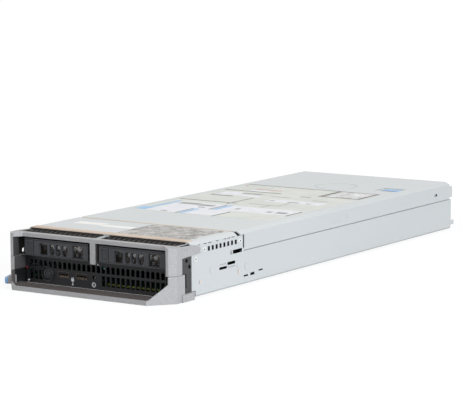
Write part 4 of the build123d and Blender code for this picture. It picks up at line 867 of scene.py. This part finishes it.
# Painted highlight: pale cream glints on the upper struts only.
upper = add(tree, "ShaderNodeMapRange", {
    0: height.outputs["Z"], 1: mesh_dark * MM, 2: mesh_bright * MM, 3: 0.0, 4: 1.0,
})
glints = add(tree, "ShaderNodeTexNoise", {"Vector": place, "Scale": 1 / (2.4 * MM), "Detail": 1.0})
catches = add(tree, "ShaderNodeMapRange", {0: glints.outputs[0], 1: 0.48, 2: 0.56, 3: 0.0, 4: 1.0})
lit_part = add(tree, "ShaderNodeMath", {
    0: upper.outputs[0], 1: catches.outputs[0],
}, operation="MULTIPLY")
# Painted shade: dark browns on the lower struts.
shaded_browns = add(tree, "ShaderNodeMix", {
    0: brown_mottle.outputs[0], 6: linear("#0C0A09"), 7: linear("#5A4F46"),
}, data_type="RGBA")
tone = add(tree, "ShaderNodeMix", {
    0: lit_part.outputs[0], 6: shaded_browns.outputs[2], 7: linear("#F0E7DA"),
}, data_type="RGBA")
strut = add(tree, "ShaderNodeBsdfPrincipled", {
    "Base Color": tone.outputs[2], "Metallic": 0.2, "Roughness": 0.5,
})
add(tree, "ShaderNodeOutputMaterial", {"Surface": strut.outputs[0]})
paint(honeycomb, "carrier_mesh_left", "carrier_mesh_right")


# Processor lids and the coin cell: copper and steel under bright nickel plate, which mirrors the
# white room with only a light polish haze.
nickel, tree, place = start_material("bright_nickel_plate")
haze = add(tree, "ShaderNodeTexNoise", {"Vector": place, "Scale": 1 / (4.0 * MM), "Detail": 3.0})
rough = add(tree, "ShaderNodeMapRange", {0: haze.outputs[0], 1: 0.3, 2: 0.7, 3: 0.12, 4: 0.3})
tone = add(tree, "ShaderNodeMix", {
    0: haze.outputs[0], 6: linear("#C9C4BC"), 7: linear("#DEDBD6"),
}, data_type="RGBA")
plate = add(tree, "ShaderNodeBsdfPrincipled", {
    "Base Color": tone.outputs[2], "Metallic": 1.0, "Roughness": rough.outputs[0],
})
add(tree, "ShaderNodeOutputMaterial", {"Surface": plate.outputs[0]})
paint(nickel, "processors", "coin_cell")


# Side screws: low pan heads in the sheet's own zinc, with their recess painted dark as shade. Side
# rivets: clinched steel with a faint copper flash, and their rims are painted darker as shade.
fastener_finishes = {}
for name, grain_size, first, second, metallic, roughness in [
    ("zinc_screw_head", 0.7, "#D9DBD8", "#E8E9E6", 0.4, 0.4),
    ("screw_recess_painted_shade", 0.5, "#3A2A26", "#5A4640", 0.0, 0.6),
    ("clinched_rivet_steel", 1.0, "#CFC3BC", "#E6DFDA", 0.4, 0.4),
    ("rivet_rim_shadow", 0.8, "#8A7A72", "#A89A92", 0.0, 0.6),
]:
    material, tree, place = start_material(name)
    marks = add(tree, "ShaderNodeTexNoise", {
        "Vector": place, "Scale": 1 / (grain_size * MM), "Detail": 2.0,
    })
    tone = add(tree, "ShaderNodeMix", {
        0: marks.outputs[0], 6: linear(first), 7: linear(second),
    }, data_type="RGBA")
    steel = add(tree, "ShaderNodeBsdfPrincipled", {
        "Base Color": tone.outputs[2], "Metallic": metallic, "Roughness": roughness,
    })
    add(tree, "ShaderNodeOutputMaterial", {"Surface": steel.outputs[0]})
    fastener_finishes[name] = material

screw_places = [(30.3, 34.2), (44.3, 41.1), (103.2, 41.2)]
recess_radius = 1.0
head_low = half_width + 0.1
head_high = half_width + 0.6
screws = shaped_like("case_screws", "pan_head_screws", fastener_finishes["zinc_screw_head"],
                     fastener_finishes["screw_recess_painted_shade"])
second_finish(screws, lambda middle, normal: head_low < abs(middle.x) < head_high and any(
    math.hypot(middle.y - face_y - depth, middle.z - z) < recess_radius for depth, z in screw_places
))
rivets = shaped_like("side_rivets", "clinched_rivets", fastener_finishes["clinched_rivet_steel"],
                     fastener_finishes["rivet_rim_shadow"])
second_finish(rivets, lambda middle, normal: abs(normal.x) < 0.5)


# Hinge pins and heatsink screws: turned from steel bar, with fine tool marks and a clear
# passivated finish.
machined, tree, place = start_material("machined_steel")
rings = add(tree, "ShaderNodeTexNoise", {"Vector": place, "Scale": 1 / (1.43 * MM), "Detail": 2.0})
rough = add(tree, "ShaderNodeMapRange", {0: rings.outputs[0], 1: 0.3, 2: 0.7, 3: 0.25, 4: 0.42})
tone = add(tree, "ShaderNodeMix", {
    0: rings.outputs[0], 6: linear("#A9A49C"), 7: linear("#C2BEB6"),
}, data_type="RGBA")
steel = add(tree, "ShaderNodeBsdfPrincipled", {
    "Base Color": tone.outputs[2], "Metallic": 1.0, "Roughness": rough.outputs[0],
})
add(tree, "ShaderNodeOutputMaterial", {"Surface": steel.outputs[0]})
paint(machined, "handle_hinge_pin", "heatsink_screws", "carrier_hinge_pin_left",
      "carrier_hinge_pin_right")


# Heatsinks, drive cases and guide sockets: aluminium, extruded or die-cast and left bare, with draw
# lines along the blade that are drawn 0.4 mm apart so that they show.
draw_line = 0.4 * MM
bare_aluminium, tree, place = start_material("bare_aluminium")
drawn = add(tree, "ShaderNodeMapping", {"Vector": place, "Scale": (1.0, 0.03, 1.0)})
lines = add(tree, "ShaderNodeTexNoise", {
    "Vector": drawn.outputs[0], "Scale": 1 / draw_line, "Detail": 2.0,
})
rough = add(tree, "ShaderNodeMapRange", {0: lines.outputs[0], 1: 0.3, 2: 0.7, 3: 0.28, 4: 0.45})
tone = add(tree, "ShaderNodeMix", {
    0: lines.outputs[0], 6: linear("#B4B5B7"), 7: linear("#CACBCC"),
}, data_type="RGBA")
bump = add(tree, "ShaderNodeBump", {
    "Height": lines.outputs[0], "Strength": 0.15, "Distance": 0.02 * MM,
})
alloy = add(tree, "ShaderNodeBsdfPrincipled", {
    "Base Color": tone.outputs[2], "Metallic": 0.5, "Roughness": rough.outputs[0],
    "Normal": bump.outputs[0],
})
add(tree, "ShaderNodeOutputMaterial", {"Surface": alloy.outputs[0]})
paint(bare_aluminium, "heatsink_front", "heatsink_rear", "chipset_heatsink", "disk_left",
      "disk_right", "rear_guide_sockets")


# Circuit boards and memory modules: glass-epoxy laminate under green solder mask, semi-gloss with
# paler copper tracks below it. The main board's routed front edge shows raw yellow-green laminate,
# which is dark on the left half.
track_pitch = 1.8 * MM
solder_mask, tree, place = start_material("green_solder_mask")
tracks = add(tree, "ShaderNodeTexBrick", {
    "Vector": place, "Scale": 1 / (8 * track_pitch), "Mortar Size": 0.03,
    "Color1": linear("#0A2E1F"), "Color2": linear("#0D3825"), "Mortar": linear("#174E36"),
})
mask = add(tree, "ShaderNodeTexNoise", {"Vector": place, "Scale": 1 / (11.1 * MM), "Detail": 2.0})
rough = add(tree, "ShaderNodeMapRange", {0: mask.outputs[0], 1: 0.3, 2: 0.7, 3: 0.25, 4: 0.38})
laminate = add(tree, "ShaderNodeBsdfPrincipled", {
    "Base Color": tracks.outputs["Color"], "Roughness": rough.outputs[0], "Specular IOR Level": 0.3,
})
add(tree, "ShaderNodeOutputMaterial", {"Surface": laminate.outputs[0]})
paint(solder_mask, "front_control_board", "drive_backplane", "memory_modules",
      "mezzanine_card_left", "mezzanine_card_right", "network_card", "storage_controller",
      "flash_card_riser")

dark_half_end = 4
raw_start = 5
raw_edge, tree, place = start_material("raw_glass_epoxy_edge")
fibres = add(tree, "ShaderNodeTexNoise", {"Vector": place, "Scale": 1 / (0.5 * MM), "Detail": 2.0})
across = add(tree, "ShaderNodeSeparateXYZ", {"Vector": place})
right_half = add(tree, "ShaderNodeMapRange", {
    0: across.outputs["X"], 1: dark_half_end * MM, 2: raw_start * MM, 3: 0.0, 4: 1.0,
})
bare = add(tree, "ShaderNodeMix", {
    0: fibres.outputs[0], 6: linear("#6A7428"), 7: linear("#8E9440"),
}, data_type="RGBA")
tone = add(tree, "ShaderNodeMix", {
    0: right_half.outputs[0], 6: linear("#1C2616"), 7: bare.outputs[2],
}, data_type="RGBA")
glass = add(tree, "ShaderNodeBsdfPrincipled", {"Base Color": tone.outputs[2], "Roughness": 0.55})
add(tree, "ShaderNodeOutputMaterial", {"Surface": glass.outputs[0]})
main_board = shaped_like("system_board", "main_board", solder_mask, raw_edge)
second_finish(main_board, lambda middle, normal: normal.y < -0.7)


# Chips and coils: black epoxy packages with a dull moulded top, soldered to the boards. Memory
# latches: white glass-filled nylon, slightly waxy, snapped onto the ends of the sockets.
for name, filler_size, first, second, roughness, nodes in [
    ("black_epoxy_package", 1.11, "#161617", "#26262A", 0.4,
     ["memory_chips", "voltage_regulators"]),
    ("white_nylon", 3.33, "#D8D4C8", "#E6E3DA", 0.42, ["memory_latches"]),
]:
    moulded, tree, place = start_material(name)
    filler = add(tree, "ShaderNodeTexNoise", {
        "Vector": place, "Scale": 1 / (filler_size * MM), "Detail": 2.0,
    })
    tone = add(tree, "ShaderNodeMix", {
        0: filler.outputs[0], 6: linear(first), 7: linear(second),
    }, data_type="RGBA")
    resin = add(tree, "ShaderNodeBsdfPrincipled", {
        "Base Color": tone.outputs[2], "Roughness": roughness,
    })
    add(tree, "ShaderNodeOutputMaterial", {"Surface": resin.outputs[0]})
    paint(moulded, *nodes)


# Gaskets: woven conductive cloth over foam, glued in strips. Copper and nickel threads make it
# tan, and its fine weave is drawn at 0.9 mm so that it shows.
weave_pitch = 0.9 * MM
gasket_cloth, tree, place = start_material("conductive_gasket_cloth")
warp = add(tree, "ShaderNodeTexWave", {"Vector": place, "Scale": 1 / (2 * math.pi * weave_pitch)},
           bands_direction="X")
weft = add(tree, "ShaderNodeTexWave", {"Vector": place, "Scale": 1 / (2 * math.pi * weave_pitch)},
           bands_direction="Y")
woven = add(tree, "ShaderNodeMath", {
    0: warp.outputs["Fac"], 1: weft.outputs["Fac"],
}, operation="MULTIPLY")
rubbed = add(tree, "ShaderNodeTexNoise", {"Vector": place, "Scale": 1 / (14.3 * MM), "Detail": 3.0})
blend = add(tree, "ShaderNodeMath", {0: woven.outputs[0], 1: 0.4, 2: rubbed.outputs[0]},
            operation="MULTIPLY_ADD")
tone = add(tree, "ShaderNodeMix", {
    0: blend.outputs[0], 6: linear("#BCA896"), 7: linear("#DCCBBA"),
}, data_type="RGBA")
bump = add(tree, "ShaderNodeBump", {
    "Height": woven.outputs[0], "Strength": 0.5, "Distance": 0.08 * MM,
})
cloth = add(tree, "ShaderNodeBsdfPrincipled", {
    "Base Color": tone.outputs[2], "Metallic": 0.2, "Roughness": 0.65, "Normal": bump.outputs[0],
})
add(tree, "ShaderNodeOutputMaterial", {"Surface": cloth.outputs[0]})
paint(gasket_cloth, "front_gasket", "rear_gasket")


# Cover latch: a moulded plastic slider in the touch-point blue, in a steel cup drawn down from the
# cover. Its front face lies in the gap beside the cup and is painted near-black as shade.
blue_latch = shaped_like("cover_latch", "blue_latch", touch_blue, edge_shade)
second_finish(blue_latch, lambda middle, normal: normal.y < -0.7)


# Labels on the cover and front panel: printed polyester film, 0.1 mm thick and glued on. They carry
# pale panels, plain rules, and grey, blue and red bars.
film_skin = 0.1
ink_skin = 0.03
cover_face = 49.8


def flat_piece(name, body, material, patches, low, thickness):
    """One thin piece of several rectangles, each given as x from, x to, depth from, depth to."""
    work = bmesh.new()
    for x0, x1, near, far in patches:
        add_block(work, (x1 - x0, far - near, thickness),
                  ((x0 + x1) / 2, face_y + (near + far) / 2, low + thickness / 2))
    piece = as_object(work, name, material)
    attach(piece, body)


label_prints = {}
for name, first, second, patch, gloss in [
    ("cream_label_film", "#DCDDD5", "#E5E6DD", 30, 0.6),
    ("white_label_film", "#EAEAED", "#F4F4F6", 6, 0.6),
    ("blue_label_ink", "#A6CAE8", "#B4D3EE", 15, 0.6),
    ("dark_label_ink", "#78736F", "#8A8580", 8, 0.6),
    ("grey_label_ink", "#9C9A95", "#B4B2AD", 4, 0.6),
    ("red_label_ink", "#CE9A96", "#DDB4AF", 8, 0.6),
    ("silver_label_foil", "#F2EFE8", "#FDFCF8", 5, 0.45),
]:
    material, tree, place = start_material(name)
    spots = add(tree, "ShaderNodeTexNoise", {
        "Vector": place, "Scale": 1 / (patch * MM), "Detail": 3.0,
    })
    spread = add(tree, "ShaderNodeMapRange", {
        0: spots.outputs[0], 1: 0.35, 2: 0.65, 3: 0.0, 4: 1.0,
    })
    tone = add(tree, "ShaderNodeMix", {
        0: spread.outputs[0], 6: linear(first), 7: linear(second),
    }, data_type="RGBA")
    printed = add(tree, "ShaderNodeBsdfPrincipled", {
        "Base Color": tone.outputs[2], "Roughness": gloss, "Specular IOR Level": 0.2,
    })
    add(tree, "ShaderNodeOutputMaterial", {"Surface": printed.outputs[0]})
    label_prints[name] = material

film_top = cover_face + film_skin
ink_low = film_top + ink_skin
flat_piece("cover_label", "cover", label_prints["cream_label_film"], [(-80.5, 80, 172, 388)],
           cover_face, film_skin)
flat_piece("cover_label_white_panels", "cover", label_prints["white_label_film"], [
    (-66, -6, 175, 243), (-5, 15, 175, 208), (-4, 78, 211, 242), (-70, -46, 305, 330),
    (2, 68, 285, 302), (-44, -18, 306, 318), (-52, -30, 342, 352),
], film_top, ink_skin)
flat_piece("cover_label_blue_bars", "cover", label_prints["blue_label_ink"], [
    (-79.7, -67, 176, 194), (-74, -69, 194, 246), (-25.5, -20, 173, 206), (-9.5, -4, 209, 242),
    (-45, -42, 372, 376),
], ink_low, ink_skin)
flat_piece("cover_label_rules", "cover", label_prints["dark_label_ink"], [
    (-81, -11.5, 256.5, 259.5), (-80.5, -10.8, 339, 342), (-80.7, 80, 386, 388.6),
    (-29, -26.7, 173, 205), (-13.2, -11, 208, 241), (15.4, 17.6, 171, 204), (76.4, 79, 207, 239),
    (31.5, 80, 343, 346.5), (31.5, 36.0, 346.5, 386), (76.5, 80, 346.5, 386),
], ink_low, ink_skin)
flat_piece("cover_label_grey_bars", "cover", label_prints["grey_label_ink"], [
    (-63, -40, 228, 238), (-38, -20, 225, 234), (-72, -45, 298, 304), (-48, -24, 321, 327),
    (-50, -42, 177, 181), (-30, -22, 214, 218), (9, 14, 221, 228), (47, 53, 219, 226),
    (58, 70, 218, 227), (6, 12, 290, 294), (28, 42, 288, 293), (50, 56, 289, 292),
    (-20, -17, 250, 300), (0, 34, 262, 263.5), (24, 25.5, 246, 262), (34, 35.5, 262, 284),
    (44, 62, 312, 313.5), (-10, 14, 318, 319.5), (18, 30, 330, 334),
], ink_low + ink_skin, ink_skin)
flat_piece("cover_label_red_rule", "cover", label_prints["red_label_ink"], [
    (-53, -21, 356.5, 360), (-80, -76, 377, 381),
], ink_low, ink_skin)

# Foils: a silvery strip and a wide etched foil on the front panel, and a speckled patch on the
# cover's label. They are thin aluminium foil, glued on, and all are left bare.
for name, first, second, low_end in [
    ("mottled_panel_foil", "#7C756F", "#D2D0CD", 0.64),
    ("speckled_cover_foil", "#8E8984", "#F6F6F6", 0.58),
]:
    material, tree, place = start_material(name)
    fine = add(tree, "ShaderNodeTexNoise", {
        "Vector": place, "Scale": 1 / (1.5 * MM), "Detail": 4.0, "Roughness": 0.8,
    })
    coarse = add(tree, "ShaderNodeTexNoise", {
        "Vector": place, "Scale": 1 / (9 * MM), "Detail": 3.0,
    })
    mixed = add(tree, "ShaderNodeMath", {0: coarse.outputs[0], 1: 0.5, 2: fine.outputs[0]},
                operation="MULTIPLY_ADD")
    spread = add(tree, "ShaderNodeMapRange", {
        0: mixed.outputs[0], 1: low_end, 2: 0.86, 3: 0.0, 4: 1.0,
    })
    tone = add(tree, "ShaderNodeMix", {
        0: spread.outputs[0], 6: linear(first), 7: linear(second),
    }, data_type="RGBA")
    etched = add(tree, "ShaderNodeBsdfPrincipled", {
        "Base Color": tone.outputs[2], "Metallic": 0.2, "Roughness": 0.5, "Specular IOR Level": 0.3,
    })
    add(tree, "ShaderNodeOutputMaterial", {"Surface": etched.outputs[0]})
    label_prints[name] = material
flat_piece("panel_foil_mottled", "chassis", label_prints["mottled_panel_foil"],
           [(0, 81, 34.2, 96)], cover_face, film_skin)
flat_piece("panel_foil_strip", "chassis", label_prints["silver_label_foil"], [
    (-72, -39, 66, 79), (-37, -2, 63, 73),
], cover_face, film_skin)
flat_piece("panel_foil_marks", "chassis", label_prints["dark_label_ink"], [
    (79, 82.5, 46, 49), (79, 82.5, 88, 92),
], film_top, ink_skin)
flat_piece("cover_patch_speckled", "cover", label_prints["speckled_cover_foil"],
           [(36, 76.5, 346.5, 386)], ink_low, ink_skin)

bpy.context.scene.view_settings.view_transform = "Standard"
